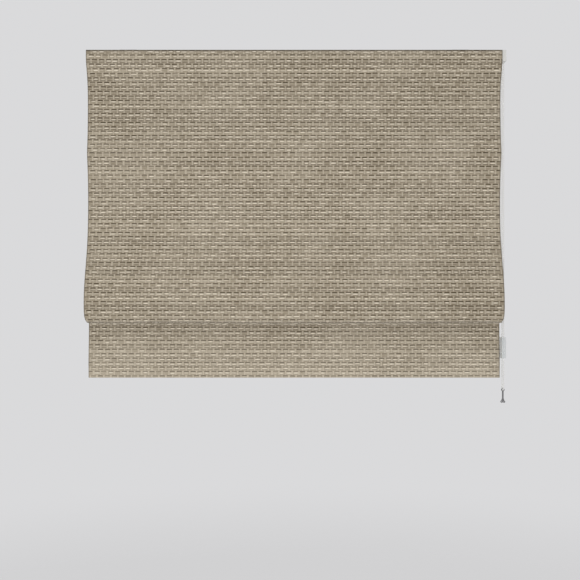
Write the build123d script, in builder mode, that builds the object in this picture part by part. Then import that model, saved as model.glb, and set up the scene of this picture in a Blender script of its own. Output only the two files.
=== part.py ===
from build123d import *
from math import pi, sin, sqrt
import os

# Roman blind, part raised: three hidden rods, the lowest one drawn up behind the middle one.
# Frame: X to the viewer's right, Y away from the viewer, Z up. The origin is the centre of the
# four screw holes of the top-fixing brackets, on the plane of the recess head that they meet.

# Cloth
blind_width = 1200.0
face_thickness = 1.6
ridge_height = 0.7
row_pitch = 12.9
steps_per_row = 4
side_hem_width = 35.0
lining_thickness = 0.8
lining_inset = 20.0
sewn_gap = 0.3
lining_top_drop = 36.0

# Hang of the cloth, seen from the side: the front of the cloth is this far behind the heading's
# front at these heights below the heading
heading_top = -3.0
first_seam_drop = 295.0
rod_spacing = 327.0
upper_belly = 24.0
upper_seam_set = 12.0
middle_belly = 27.0
middle_seam_set = -4.0
fold_swing = 27.0
fold_drop = 143.0
knee_radius = 22.0
turn_radius = 4.0
turn_set = 25.0
lower_belly = 38.0
hem_set = 32.0
hem_depth = 33.0
lower_panel_drop = 291.0
seam_pinch = 0.5

# Headrail
rail_depth = 40.0
rail_height = 30.0
rail_wall = 1.4
rail_left_margin = 5.0
rail_right_margin = 10.0
clip_mouth = 20.0
clip_channel = 30.0
clip_height = 3.4
lower_lip = 6.0
rail_corner = 0.8
strip_seat_depth = 0.5
strip_height = 20.0
strip_thickness = 1.5
strip_drop = 6.0
strip_end_margin = 6.0

# Top-fixing brackets
bracket_inset = 120.0
bracket_length = 50.0
bracket_width = 34.0
bracket_plate = 1.2
bracket_clearance = 0.3
screw_hole_radius = 2.25
screw_spacing = 12.0
bracket_corner = 4.0
hook_margin = 2.5
hook_gap = 14.0

# Drive
shaft_flats = 6.0
shaft_left_margin = 6.0
shaft_right_reach = 5.0
shaft_drop = 17.6
fit_clearance = 0.05
running_clearance = 0.06
cord_radius = 0.7
cord_pitch_radius = 9.0
cord_gap = 0.3
spool_length = 26.0
spool_flange_radius = 10.3
spool_flange = 1.4
journal_radius = 4.6
journal_length = 3.0
spool_inset = 160.0
end_float = 0.4

# Spool cradles
cradle_wall = 2.2
cradle_base = 1.6
cradle_reach = 17.5
cradle_window_margin = 0.8
cradle_foot = 4.0
cradle_corner = 2.0
bearing_rim = 3.0

# Left end cap
cap_plate = 2.0
cap_plug_length = 14.0
cap_corner = 1.5
plug_clearance = 0.2

# Chain control at the right end
plug_length = 24.0
housing_wall = 1.8
housing_corner = 3.0
room_clearance = 1.0
housing_floor = 2.0
cover_thickness = 1.6
bead_diameter = 4.5
bead_pitch = 6.0
bead_clearance = 0.2
wheel_beads = 10
wheel_width = 7.0
wheel_side_gap = 7.0
wheel_rim = 0.9
chain_slot = 6.0
core_radius = 4.6
core_flange = 1.2
core_tail = 2.0
core_tip_gap = 0.6
sleeve_wall = 1.8
spring_wire = 0.8
spring_turns = 6
spring_clearance = 0.15

# Operating chain and its guides
chain_cord_radius = 0.7
chain_loop_drop = 982.0
connector_radius = 2.5
connector_length = 7.0
connector_bore = 1.45
connector_round = 0.8
guide_top = -832.0
guide_bottom = -893.0
guide_width = 13.0
guide_bore_radius = 2.9
guide_wall = 1.6
guide_screw_radius = 1.8
guide_screw_spacing = 40.0
guide_corner = 3.0
tidy_bottom = -1023.0
tidy_thickness = 5.0
tidy_stem = 3.6
tidy_spread = 13.2
tidy_saddle_wall = 1.7
tidy_foot_radius = 3.1
tidy_screw_radius = 1.4
tidy_fork = 10.0

# Rods, pocket tapes, rings and anchors
rod_radius = 2.0
rod_end_margin = 22.0
pocket_depth = 25.0
pocket_ply = 0.6
pocket_end_margin = 20.5
rod_clearance = 0.15
tape_gap = 0.6
tape_flange = 4.0
ring_outer_radius = 6.5
ring_thickness = 2.2
ring_gap = 0.15
anchor_radius = 4.0

# Bottom bar
bar_height = 22.0
bar_thickness = 3.0
bar_clearance = 0.3
bar_end_margin = 9.0
bar_cap_length = 6.0
bar_cap_wall = 0.8
bar_corner = 1.0

os.makedirs("parts", exist_ok=True)


def ends(count, spacing):
    """Centred positions of a row of like pieces."""
    return [(i - (count - 1) / 2) * spacing for i in range(count)]


# Places along the blind's width
half_width = blind_width / 2
rail_left = -half_width + rail_left_margin
rail_right = half_width - rail_right_margin
bracket_spacing = blind_width - 2 * bracket_inset
spool_spacing = half_width - spool_inset
wheel_centre = half_width + wheel_side_gap
shaft_left = -half_width + shaft_left_margin
shaft_right = wheel_centre + shaft_right_reach

# Heights and depths that several pieces share
rail_top = -bracket_plate - bracket_clearance
rail_bottom = rail_top - rail_height
shaft_z = rail_top - shaft_drop
rail_front = -rail_depth / 2
strip_front = rail_front + strip_seat_depth - 2 * strip_thickness
cloth_front = strip_front - sewn_gap - face_thickness
cloth_line = cloth_front + face_thickness / 2
hem_back = 1.5 * face_thickness
lining_front = hem_back + sewn_gap
lining_back = lining_front + lining_thickness
shaft_corner_radius = shaft_flats / sqrt(3)
cord_y = cord_pitch_radius

# The cloth's line from the heading to the hem, as one chain of curves in the Y-Z plane
seam_upper_z = heading_top - first_seam_drop
seam_middle_z = seam_upper_z - rod_spacing
knee_z = seam_middle_z - fold_drop
seam_upper_y = cloth_line + upper_seam_set
seam_middle_y = cloth_line + middle_seam_set
knee_front_y = cloth_line - fold_swing
knee_back_y = knee_front_y + 2 * knee_radius
turn_front_y = cloth_line + turn_set
turn_back_y = turn_front_y + 2 * turn_radius

with BuildLine(Plane.YZ) as hang:
    panel_upper = Spline(
        (cloth_line, heading_top),
        (cloth_line, heading_top - strip_height - strip_drop),
        (cloth_line + 0.6 * upper_belly, heading_top - 0.24 * first_seam_drop),
        (cloth_line + upper_belly, heading_top - 0.61 * first_seam_drop),
        (seam_upper_y, seam_upper_z),
    )
    panel_middle = Spline(
        (seam_upper_y, seam_upper_z),
        (cloth_line + middle_belly, seam_upper_z - 0.56 * rod_spacing),
        (cloth_line + 0.63 * middle_belly, seam_upper_z - 0.79 * rod_spacing),
        (seam_middle_y, seam_middle_z),
    )
    fold_front = Spline(
        (seam_middle_y, seam_middle_z),
        (knee_front_y + 3, seam_middle_z - 0.52 * fold_drop),
        (knee_front_y, knee_z),
        tangents=[(-0.3, -1), (0, -1)],
    )
    knee = RadiusArc((knee_front_y, knee_z), (knee_back_y, knee_z), -knee_radius)
    fold_back_drop = rod_spacing - fold_front.length - knee.length - turn_radius
    turn_z = knee_z + fold_back_drop
    fold_back = Spline(
        (knee_back_y, knee_z), (turn_front_y, turn_z), tangents=[(0, 1), (0, 1)]
    )
    turn = RadiusArc((turn_front_y, turn_z), (turn_back_y, turn_z), turn_radius)
    hem_top_z = turn_z - lower_panel_drop + hem_depth
    panel_lower = Spline(
        (turn_back_y, turn_z),
        (cloth_line + lower_belly, turn_z - 0.5 * lower_panel_drop),
        (cloth_line + hem_set, hem_top_z),
        tangents=[(0, -1), (0, -1)],
    )
    hem = Line((cloth_line + hem_set, hem_top_z), (cloth_line + hem_set, hem_top_z - hem_depth))
hang_line = [panel_upper, panel_middle, fold_front, knee, fold_back, turn, panel_lower, hem]
drop_length = sum(curve.length for curve in hang_line)
hem_bottom_z = hem_top_z - hem_depth
seam_lower_z = turn_z + turn_radius


def cloth_point(travel):
    """Position and front-side normal of the cloth's line, in Y and Z, at this length from the heading."""
    for curve in hang_line:
        if travel <= curve.length:
            break
        travel -= curve.length
    share = min(travel / curve.length, 1.0)
    here, along = curve @ share, curve % share
    return here.Y, here.Z, along.Z, -along.Y


row_count = round(drop_length / row_pitch)
step_count = row_count * steps_per_row
travels = [drop_length * i / step_count for i in range(step_count + 1)]
cloth_points = [cloth_point(travel) for travel in travels]
seam_travels = [
    panel_upper.length,
    panel_upper.length + panel_middle.length,
    panel_upper.length + panel_middle.length + rod_spacing,
]


def row_relief(i):
    """Height of the woven rows at this step: a rib in each row, drawn in where a seam is sewn."""
    pinch = min(1.0, min(abs(travels[i] - seam) for seam in seam_travels) / row_pitch)
    return ridge_height * sin(pi * (i % steps_per_row) / steps_per_row) * pinch - seam_pinch * (1 - pinch)


def layer(first, last, front, back, ribbed=False):
    """Outline of one layer of cloth between two steps, at these distances behind the cloth's line."""
    steps = range(first, last + 1)
    near, far = [], []
    for i in steps:
        y, z, out_y, out_z = cloth_points[i]
        lift = -front + (row_relief(i) if ribbed else 0)
        near.append((y + lift * out_y, z + lift * out_z))
        far.append((y - back * out_y, z - back * out_z))
    return near + far[::-1]


def step_at(travel):
    """Nearest step of the cloth's line to this length from the heading."""
    return round(travel / drop_length * step_count)


# Face fabric: one cloth, doubled at the side hems, with the bar's pocket along the bottom
hem_y = cloth_line + hem_set
slot_thickness = bar_thickness + 2 * (bar_cap_wall + bar_clearance)
slot_height = bar_height + 2 * (bar_cap_wall + bar_clearance)
slot_y = hem_y + face_thickness / 2 + slot_thickness / 2
slot_z = hem_bottom_z + face_thickness + slot_height / 2
pocket_back = slot_y + slot_thickness / 2 + face_thickness
with BuildPart() as face_fabric:
    with BuildSketch(Plane.YZ) as single_layer:
        with BuildLine():
            Polyline(*layer(0, step_count, -face_thickness / 2, face_thickness / 2, True), close=True)
        make_face()
    extrude(amount=half_width, both=True)
    for side in (-1, 1):
        with BuildSketch(Plane.YZ.offset(side * half_width)) as side_hem:
            with BuildLine():
                Polyline(*layer(0, step_count, face_thickness / 4, hem_back), close=True)
            make_face()
        extrude(amount=-side * side_hem_width)
    with BuildSketch(Plane.YZ) as bar_pocket:
        with BuildLine():
            Polyline(
                (hem_y, hem_top_z),
                (hem_y + hem_back, hem_top_z),
                (hem_y + hem_back, slot_z + slot_height / 2 + face_thickness),
                (pocket_back, slot_z + slot_height / 2 - face_thickness),
                (pocket_back, hem_bottom_z + face_thickness),
                (pocket_back - face_thickness, hem_bottom_z),
                (hem_y, hem_bottom_z),
                close=True,
            )
        make_face()
    extrude(amount=half_width, both=True)
    with BuildSketch(Plane.YZ) as bar_slot:
        with Locations((slot_y, slot_z)):
            Rectangle(slot_thickness, slot_height)
    extrude(amount=half_width, both=True, mode=Mode.SUBTRACT)
face_fabric.part.label = "face_fabric"
export_step(face_fabric.part, "parts/face_fabric.step")

# Lining: behind the side hems, from below the rail to the bottom hem
lining_first = step_at(lining_top_drop)
lining_last = step_at(drop_length - hem_depth - row_pitch / 2)
with BuildPart() as lining:
    with BuildSketch(Plane.YZ) as lining_layer:
        with BuildLine():
            Polyline(*layer(lining_first, lining_last, lining_front, lining_back), close=True)
        make_face()
    extrude(amount=half_width - lining_inset, both=True)
lining.part.label = "lining"
export_step(lining.part, "parts/lining.step")

# Headrail: one extrusion, with a clip channel on top, an open mouth below and a seat for the hook strip
rail_length = rail_right - rail_left
floor_z = rail_top - rail_wall - clip_height
inner_depth = rail_depth - 2 * rail_wall
strip_top = rail_top - strip_drop
with BuildPart() as headrail:
    with BuildSketch(Plane.YZ.offset(rail_left)) as rail_section:
        with Locations((0, rail_top - rail_height / 2)):
            Rectangle(rail_depth, rail_height)
        fillet(rail_section.vertices(), rail_corner)
        with Locations((0, rail_top)):
            Rectangle(clip_mouth, 2 * (rail_wall + clip_height), mode=Mode.SUBTRACT)
        with Locations((0, rail_top - rail_wall - clip_height / 2)):
            Rectangle(clip_channel, clip_height, mode=Mode.SUBTRACT)
        with Locations((0, (floor_z - rail_wall + rail_bottom + rail_wall) / 2)):
            Rectangle(inner_depth, floor_z - rail_bottom - 2 * rail_wall, mode=Mode.SUBTRACT)
        with Locations((0, rail_bottom)):
            Rectangle(inner_depth - 2 * lower_lip, 2 * rail_wall, mode=Mode.SUBTRACT)
        with Locations((rail_front, strip_top - strip_height / 2)):
            Rectangle(2 * strip_seat_depth, strip_height + 2 * fit_clearance, mode=Mode.SUBTRACT)
    extrude(amount=rail_length)
headrail.part.label = "headrail"
export_step(headrail.part, "parts/headrail.step")

# Touch fastener between the rail and the cloth, kept inside the side hems
strip_half = half_width - side_hem_width - strip_end_margin
with BuildPart() as hook_strip:
    with BuildSketch(Plane.YZ) as hook_section:
        with Locations((rail_front + strip_seat_depth - strip_thickness / 2, strip_top - strip_height / 2)):
            Rectangle(strip_thickness, strip_height)
    extrude(amount=strip_half, both=True)
hook_strip.part.label = "hook_strip"
export_step(hook_strip.part, "parts/hook_strip.step")

with BuildPart() as loop_strip:
    with BuildSketch(Plane.YZ) as loop_section:
        with Locations((strip_front + strip_thickness / 2, strip_top - strip_height / 2)):
            Rectangle(strip_thickness, strip_height)
    extrude(amount=strip_half, both=True)
loop_strip.part.label = "loop_strip"
export_step(loop_strip.part, "parts/loop_strip.step")

# Top-fixing brackets: a pressed plate with four hooks that clip under the channel's lips
hook_outer = clip_mouth / 2 - bracket_clearance
hook_under = rail_top - rail_wall - bracket_clearance
hook_reach = clip_channel / 2 - hook_margin
for bracket_name, bracket_x in zip(("bracket_left", "bracket_right"), ends(2, bracket_spacing)):
    with BuildPart() as bracket:
        with BuildSketch(Plane.XY.offset(-bracket_plate)) as plate:
            with Locations((bracket_x, 0)):
                RectangleRounded(bracket_length, bracket_width, bracket_corner)
            with Locations((bracket_x, screw_spacing / 2), (bracket_x, -screw_spacing / 2)):
                Circle(screw_hole_radius, mode=Mode.SUBTRACT)
        extrude(amount=bracket_plate)
        for side in (-1, 1):
            with BuildSketch(Plane.YZ.offset(bracket_x)) as hook:
                with BuildLine():
                    Polyline(
                        (side * hook_outer, -bracket_plate),
                        (side * hook_outer, hook_under),
                        (side * hook_reach, hook_under),
                        (side * hook_reach, hook_under - bracket_plate),
                        (side * (hook_outer - bracket_plate), hook_under - bracket_plate),
                        (side * (hook_outer - bracket_plate), -bracket_plate),
                        close=True,
                    )
                make_face()
            extrude(amount=bracket_length / 2 - bracket_corner, both=True)
        with BuildSketch(Plane.XY.offset(-bracket_plate)) as screw_gap:
            with Locations((bracket_x, 0)):
                Rectangle(hook_gap, bracket_width)
        extrude(amount=hook_under - bracket_plate, mode=Mode.SUBTRACT)
    bracket.part.label = bracket_name
    export_step(bracket.part, f"parts/{bracket_name}.step")

# Drive shaft: a hexagonal bar along the rail
shaft_axis = Axis((0, 0, shaft_z), (1, 0, 0))
shaft_side = Plane(origin=(0, 0, shaft_z), x_dir=(1, 0, 0), z_dir=(0, -1, 0))
shaft_bearing_radius = shaft_corner_radius + running_clearance
with BuildPart() as drive_shaft:
    with BuildSketch(Plane.YZ.offset(shaft_left)) as shaft_section:
        with Locations((0, shaft_z)):
            RegularPolygon(shaft_corner_radius, 6)
    extrude(amount=shaft_right - shaft_left)
drive_shaft.part.label = "drive_shaft"
export_step(drive_shaft.part, "parts/drive_shaft.step")

# Spools and their cradles, one set for each lift cord
barrel_radius = cord_pitch_radius - cord_radius - cord_gap
hex_bore_radius = shaft_corner_radius + 2 * fit_clearance / sqrt(3)
wall_inner = spool_length / 2 + end_float
wall_outer = wall_inner + cradle_wall
cradle_half = wall_outer + cradle_foot
cradle_floor = rail_bottom + rail_wall
window_half = spool_flange_radius + cradle_window_margin
rib_outer = inner_depth / 2 - lower_lip - fit_clearance
places = ("left", "centre", "right")
for place, spool_x in zip(places, ends(3, spool_spacing)):
    with BuildPart() as spool:
        with BuildSketch(shaft_side) as spool_outline:
            with BuildLine():
                Polyline(
                    (spool_x - spool_length / 2 - journal_length, 0),
                    (spool_x - spool_length / 2 - journal_length, journal_radius),
                    (spool_x - spool_length / 2, journal_radius),
                    (spool_x - spool_length / 2, spool_flange_radius),
                    (spool_x - spool_length / 2 + spool_flange, spool_flange_radius),
                    (spool_x - spool_length / 2 + 2 * spool_flange, barrel_radius),
                    (spool_x + spool_length / 2 - 2 * spool_flange, barrel_radius),
                    (spool_x + spool_length / 2 - spool_flange, spool_flange_radius),
                    (spool_x + spool_length / 2, spool_flange_radius),
                    (spool_x + spool_length / 2, journal_radius),
                    (spool_x + spool_length / 2 + journal_length, journal_radius),
                    (spool_x + spool_length / 2 + journal_length, 0),
                    close=True,
                )
            make_face()
        revolve(axis=shaft_axis)
        with BuildSketch(Plane.YZ.offset(spool_x)) as spool_bore:
            with Locations((0, shaft_z)):
                RegularPolygon(hex_bore_radius, 6)
        extrude(amount=spool_length, both=True, mode=Mode.SUBTRACT)
    spool.part.label = f"spool_{place}"
    export_step(spool.part, f"parts/spool_{place}.step")

    with BuildPart() as cradle:
        with BuildSketch(Plane.XY.offset(cradle_floor)) as cradle_frame:
            with Locations((spool_x, 0)):
                RectangleRounded(2 * cradle_half, 2 * cradle_reach, cradle_corner)
        extrude(amount=cradle_base)
        with BuildSketch(Plane.XY.offset(rail_bottom)) as mouth_rib:
            with Locations((spool_x, 0)):
                Rectangle(2 * cradle_half, 2 * rib_outer)
        extrude(amount=rail_wall)
        with BuildSketch(Plane.YZ.offset(spool_x - wall_outer)) as bearing_wall:
            with Locations((0, shaft_z)):
                Circle(journal_radius + bearing_rim)
            with Locations((0, cradle_floor + cradle_base / 2)):
                Rectangle(2 * cradle_reach - 2 * cradle_corner, cradle_base)
            make_hull()
        extrude(amount=2 * wall_outer)
        with BuildSketch(Plane.YZ.offset(spool_x - wall_inner)) as spool_room:
            with Locations((0, shaft_z)):
                Rectangle(2 * cradle_reach, 2 * (shaft_z - cradle_floor - cradle_base))
        extrude(amount=2 * wall_inner, mode=Mode.SUBTRACT)
        with BuildSketch(Plane.XY.offset(rail_bottom)) as window:
            with Locations((spool_x, 0)):
                Rectangle(2 * wall_inner, 2 * window_half)
        extrude(amount=rail_height / 2, mode=Mode.SUBTRACT)
        with BuildSketch(Plane.YZ.offset(spool_x)) as journal_bore:
            with Locations((0, shaft_z)):
                Circle(journal_radius + running_clearance)
        extrude(amount=cradle_half, both=True, mode=Mode.SUBTRACT)
    cradle.part.label = f"spool_cradle_{place}"
    export_step(cradle.part, f"parts/spool_cradle_{place}.step")

# Left end cap: a plate over the rail's end and a hollow plug with the shaft's blind bearing
plug_top = floor_z - rail_wall - plug_clearance
plug_bottom = rail_bottom + rail_wall + plug_clearance
plug_z = (plug_top + plug_bottom) / 2
plug_height = plug_top - plug_bottom
plug_depth = inner_depth - 2 * plug_clearance
with BuildPart() as end_cap_left:
    with BuildSketch(Plane.YZ.offset(rail_left)) as cap_outline:
        with Locations((0, rail_top - rail_height / 2)):
            RectangleRounded(rail_depth, rail_height, cap_corner)
    extrude(amount=-cap_plate)
    with BuildSketch(Plane.YZ.offset(rail_left)) as plug_ring:
        with Locations((0, plug_z)):
            Rectangle(plug_depth, plug_height)
            Rectangle(plug_depth - 2 * housing_wall, plug_height - 2 * housing_wall, mode=Mode.SUBTRACT)
    extrude(amount=cap_plug_length)
    with BuildSketch(Plane.YZ.offset(rail_left)) as bearing_boss:
        with Locations((0, shaft_z)):
            Circle(shaft_bearing_radius + housing_wall)
    extrude(amount=cap_plug_length)
    with BuildSketch(Plane.YZ.offset(shaft_left - end_float)) as blind_bore:
        with Locations((0, shaft_z)):
            Circle(shaft_bearing_radius)
    extrude(amount=cap_plug_length + cap_plate, mode=Mode.SUBTRACT)
end_cap_left.part.label = "end_cap_left"
export_step(end_cap_left.part, "parts/end_cap_left.step")

# Control housing: a moulded shell with a plug in the rail, a room for the clutch and one for the wheel
chain_radius = bead_pitch / (2 * sin(pi / wheel_beads))
room_radius = chain_radius + bead_diameter / 2 + room_clearance
housing_bottom = shaft_z - room_radius - housing_wall
housing_z = (rail_top + housing_bottom) / 2
wheel_left = wheel_centre - wheel_width / 2
wheel_right = wheel_centre + wheel_width / 2
wheel_room_left = wheel_left - end_float
wheel_room_right = wheel_right + end_float
core_flange_left = rail_right + housing_floor
core_flange_right = core_flange_left + core_flange
spring_inner = core_radius + spring_clearance
sleeve_inner = spring_inner + spring_wire + spring_clearance
sleeve_outer = sleeve_inner + sleeve_wall
clutch_room_radius = sleeve_outer + spring_clearance
with BuildPart() as control_housing:
    with BuildSketch(Plane.YZ.offset(rail_right)) as housing_outline:
        with Locations((0, housing_z)):
            RectangleRounded(rail_depth, rail_top - housing_bottom, housing_corner)
    extrude(amount=wheel_room_right - rail_right)
    with BuildSketch(Plane.YZ.offset(rail_right - plug_length)) as housing_plug:
        with Locations((0, plug_z)):
            Rectangle(plug_depth, plug_height)
            Rectangle(plug_depth - 2 * housing_wall, plug_height - 2 * housing_wall, mode=Mode.SUBTRACT)
    extrude(amount=plug_length)
    with BuildSketch(Plane.YZ.offset(core_flange_left)) as clutch_room:
        with Locations((0, shaft_z)):
            Circle(clutch_room_radius)
    extrude(amount=wheel_room_left - core_flange_left, mode=Mode.SUBTRACT)
    with BuildSketch(Plane.YZ.offset(wheel_room_left)) as wheel_room:
        with Locations((0, shaft_z)):
            Circle(room_radius)
    extrude(amount=wheel_room_right - wheel_room_left, mode=Mode.SUBTRACT)
    with BuildSketch(Plane.XY.offset(housing_bottom)) as chain_exits:
        with Locations((wheel_centre, chain_radius), (wheel_centre, -chain_radius)):
            SlotOverall(chain_slot + end_float, chain_slot)
    extrude(amount=shaft_z - housing_bottom, mode=Mode.SUBTRACT)
    with BuildSketch(Plane.YZ.offset(rail_right)) as core_seat:
        with Locations((0, shaft_z)):
            Circle(core_radius + fit_clearance)
    extrude(amount=housing_floor, mode=Mode.SUBTRACT)
control_housing.part.label = "control_housing"
export_step(control_housing.part, "parts/control_housing.step")

# Cover: closes the wheel's room and carries the shaft's right end in a blind boss
with BuildPart() as control_cover:
    with BuildSketch(Plane.YZ.offset(wheel_room_right)) as cover_outline:
        with Locations((0, housing_z)):
            RectangleRounded(rail_depth, rail_top - housing_bottom, housing_corner)
    extrude(amount=cover_thickness)
    fillet(control_cover.faces().sort_by(Axis.X)[-1].edges(), cover_thickness / 2)
    with BuildSketch(Plane.YZ.offset(wheel_room_right)) as cover_bearing:
        with Locations((0, shaft_z)):
            Circle(shaft_bearing_radius)
    extrude(amount=shaft_right + fit_clearance - wheel_room_right, mode=Mode.SUBTRACT)
control_cover.part.label = "control_cover"
export_step(control_cover.part, "parts/control_cover.step")

# Clutch core: a flanged bush fixed in the housing's floor, with the shaft running in it
core_right = wheel_left - core_tip_gap
with BuildPart() as clutch_core:
    with BuildSketch(shaft_side) as core_outline:
        with BuildLine():
            Polyline(
                (rail_right - core_tail, shaft_bearing_radius),
                (rail_right - core_tail, core_radius),
                (core_flange_left, core_radius),
                (core_flange_left, clutch_room_radius - spring_clearance),
                (core_flange_right, clutch_room_radius - spring_clearance),
                (core_flange_right, core_radius),
                (core_right, core_radius),
                (core_right, shaft_bearing_radius),
                close=True,
            )
        make_face()
    revolve(axis=shaft_axis)
clutch_core.part.label = "clutch_core"
export_step(clutch_core.part, "parts/clutch_core.step")

# Clutch spring: flat wire wound round the core
spring_mean_radius = spring_inner + spring_wire / 2
spring_left = core_flange_right + spring_wire
spring_pitch = (core_right - core_flange_right - 3 * spring_wire) / spring_turns
with BuildPart() as clutch_spring:
    with BuildLine() as spring_line:
        Helix(
            pitch=spring_pitch,
            height=spring_pitch * spring_turns,
            radius=spring_mean_radius,
            center=(spring_left, 0, shaft_z),
            direction=(1, 0, 0),
        )
    with BuildSketch(Plane(origin=spring_line.edge() @ 0, z_dir=spring_line.edge() % 0)) as wire_section:
        Rectangle(spring_wire, spring_wire)
    sweep(is_frenet=True)
clutch_spring.part.label = "clutch_spring"
export_step(clutch_spring.part, "parts/clutch_spring.step")

# Chain wheel: pockets for the beads, a groove for their cord and a slotted sleeve over the spring
wheel_radius = chain_radius + wheel_rim
groove_half = chain_cord_radius + cord_gap
pocket_radius = bead_diameter / 2 + bead_clearance
sleeve_left = core_flange_right + end_float
with BuildPart() as chain_wheel:
    with BuildSketch(Plane.YZ.offset(wheel_centre - pocket_radius)) as flange_disc:
        with Locations((0, shaft_z)):
            Circle(wheel_radius)
    extrude(amount=pocket_radius - wheel_width / 2)
    with BuildSketch(Plane.YZ.offset(wheel_centre + pocket_radius)) as right_flange_disc:
        with Locations((0, shaft_z)):
            Circle(wheel_radius)
    extrude(amount=wheel_width / 2 - pocket_radius)
    chamfer(chain_wheel.faces().filter_by(Axis.X).group_by(Axis.X)[0].edges(), wheel_rim)
    chamfer(chain_wheel.faces().filter_by(Axis.X).group_by(Axis.X)[-1].edges(), wheel_rim)
    with BuildSketch(Plane.YZ.offset(wheel_centre)) as pocket_ring:
        with Locations((0, shaft_z)):
            Circle(wheel_radius)
            with PolarLocations(chain_radius, wheel_beads):
                Circle(pocket_radius, mode=Mode.SUBTRACT)
    extrude(amount=pocket_radius, both=True)
    with BuildSketch(Plane.YZ.offset(wheel_centre)) as cord_groove:
        with Locations((0, shaft_z)):
            Circle(wheel_radius + wheel_rim)
            Circle(chain_radius - groove_half, mode=Mode.SUBTRACT)
    extrude(amount=groove_half, both=True, mode=Mode.SUBTRACT)
    with BuildSketch(Plane.YZ.offset(wheel_left)) as sleeve_ring:
        with Locations((0, shaft_z)):
            Circle(sleeve_outer)
            Circle(sleeve_inner, mode=Mode.SUBTRACT)
        with Locations((0, shaft_z + sleeve_inner)):
            Rectangle(2 * spring_wire, 2 * sleeve_wall, mode=Mode.SUBTRACT)
    extrude(amount=sleeve_left - wheel_left)
    with BuildSketch(Plane.YZ.offset(sleeve_left)) as wheel_bore:
        with Locations((0, shaft_z)):
            RegularPolygon(hex_bore_radius, 6)
    extrude(amount=wheel_right - sleeve_left, mode=Mode.SUBTRACT)
chain_wheel.part.label = "chain_wheel"
export_step(chain_wheel.part, "parts/chain_wheel.step")

# Operating chain: an endless loop over the wheel, straight under its own weight
loop_top_z = shaft_z
loop_bottom_z = heading_top - chain_loop_drop + chain_radius
with BuildPart() as operating_chain:
    with BuildLine(Plane.YZ.offset(wheel_centre)) as chain_line:
        Line((chain_radius, loop_top_z), (chain_radius, loop_bottom_z))
        RadiusArc((chain_radius, loop_bottom_z), (-chain_radius, loop_bottom_z), chain_radius)
        Line((-chain_radius, loop_bottom_z), (-chain_radius, loop_top_z))
        RadiusArc((-chain_radius, loop_top_z), (chain_radius, loop_top_z), chain_radius)
    with BuildSketch(Plane(origin=(wheel_centre, chain_radius, loop_top_z), z_dir=(0, 0, -1))) as chain_section:
        Circle(chain_cord_radius)
    sweep()
chain_length = 2 * (loop_top_z - loop_bottom_z) + 2 * pi * chain_radius
operating_chain.part.label = "operating_chain"
export_step(operating_chain.part, "parts/operating_chain.step")

# Chain guide: a clear block with a bore for each strand and two screw holes to the recess side
guide_height = guide_top - guide_bottom
guide_depth = 2 * (chain_radius + guide_bore_radius + guide_wall)
with BuildPart() as chain_guide:
    with BuildSketch(Plane.XY.offset(guide_bottom)) as guide_outline:
        with Locations((wheel_centre, 0)):
            RectangleRounded(guide_width, guide_depth, guide_corner)
        with Locations((wheel_centre, chain_radius), (wheel_centre, -chain_radius)):
            Circle(guide_bore_radius, mode=Mode.SUBTRACT)
    extrude(amount=guide_height)
    with BuildSketch(Plane.YZ.offset(wheel_centre)) as guide_holes:
        with Locations((0, (guide_top + guide_bottom) / 2)):
            with GridLocations(1, guide_screw_spacing, 1, 2):
                Circle(guide_screw_radius)
    extrude(amount=guide_width, both=True, mode=Mode.SUBTRACT)
chain_guide.part.label = "chain_guide"
export_step(chain_guide.part, "parts/chain_guide.step")

# Chain connector: the barrel that joins the chain's ends, at the bottom of the loop
eye_z = loop_bottom_z - chain_radius
with BuildPart() as chain_connector:
    with BuildSketch(Plane.XZ.offset(-connector_length / 2)) as connector_outline:
        with Locations((wheel_centre, eye_z)):
            Circle(connector_radius)
    extrude(amount=connector_length)
    chamfer(chain_connector.edges().filter_by(GeomType.CIRCLE), connector_round)
    with BuildSketch(Plane.XZ.offset(-connector_length / 2)) as connector_hole:
        with Locations((wheel_centre, eye_z)):
            Circle(connector_bore)
    extrude(amount=connector_length, mode=Mode.SUBTRACT)
chain_connector.part.label = "chain_connector"
export_step(chain_connector.part, "parts/chain_connector.step")

# Chain tidy: an eye round the chain's connector, a stem and two splayed feet with screw holes
tidy_eye_radius = connector_radius + cord_gap
foot_z = tidy_bottom + tidy_foot_radius
foot_x = tidy_spread / 2 - tidy_foot_radius
with BuildPart() as chain_tidy:
    with BuildSketch(Plane.XZ.offset(-tidy_thickness / 2)) as tidy_outline:
        with Locations((wheel_centre, eye_z)):
            Circle(tidy_eye_radius + tidy_saddle_wall)
        with BuildLine():
            Polyline((wheel_centre, eye_z), (wheel_centre, foot_z + tidy_fork))
        trace(line_width=tidy_stem)
        for side in (-1, 1):
            with BuildLine():
                Line((wheel_centre, foot_z + tidy_fork), (wheel_centre + side * foot_x, foot_z))
            trace(line_width=tidy_stem)
            with Locations((wheel_centre + side * foot_x, foot_z)):
                Circle(tidy_foot_radius)
        with Locations((wheel_centre, eye_z)):
            Circle(tidy_eye_radius, mode=Mode.SUBTRACT)
        with Locations((wheel_centre + foot_x, foot_z), (wheel_centre - foot_x, foot_z)):
            Circle(tidy_screw_radius, mode=Mode.SUBTRACT)
    extrude(amount=tidy_thickness)
chain_tidy.part.label = "chain_tidy"
export_step(chain_tidy.part, "parts/chain_tidy.step")

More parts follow.
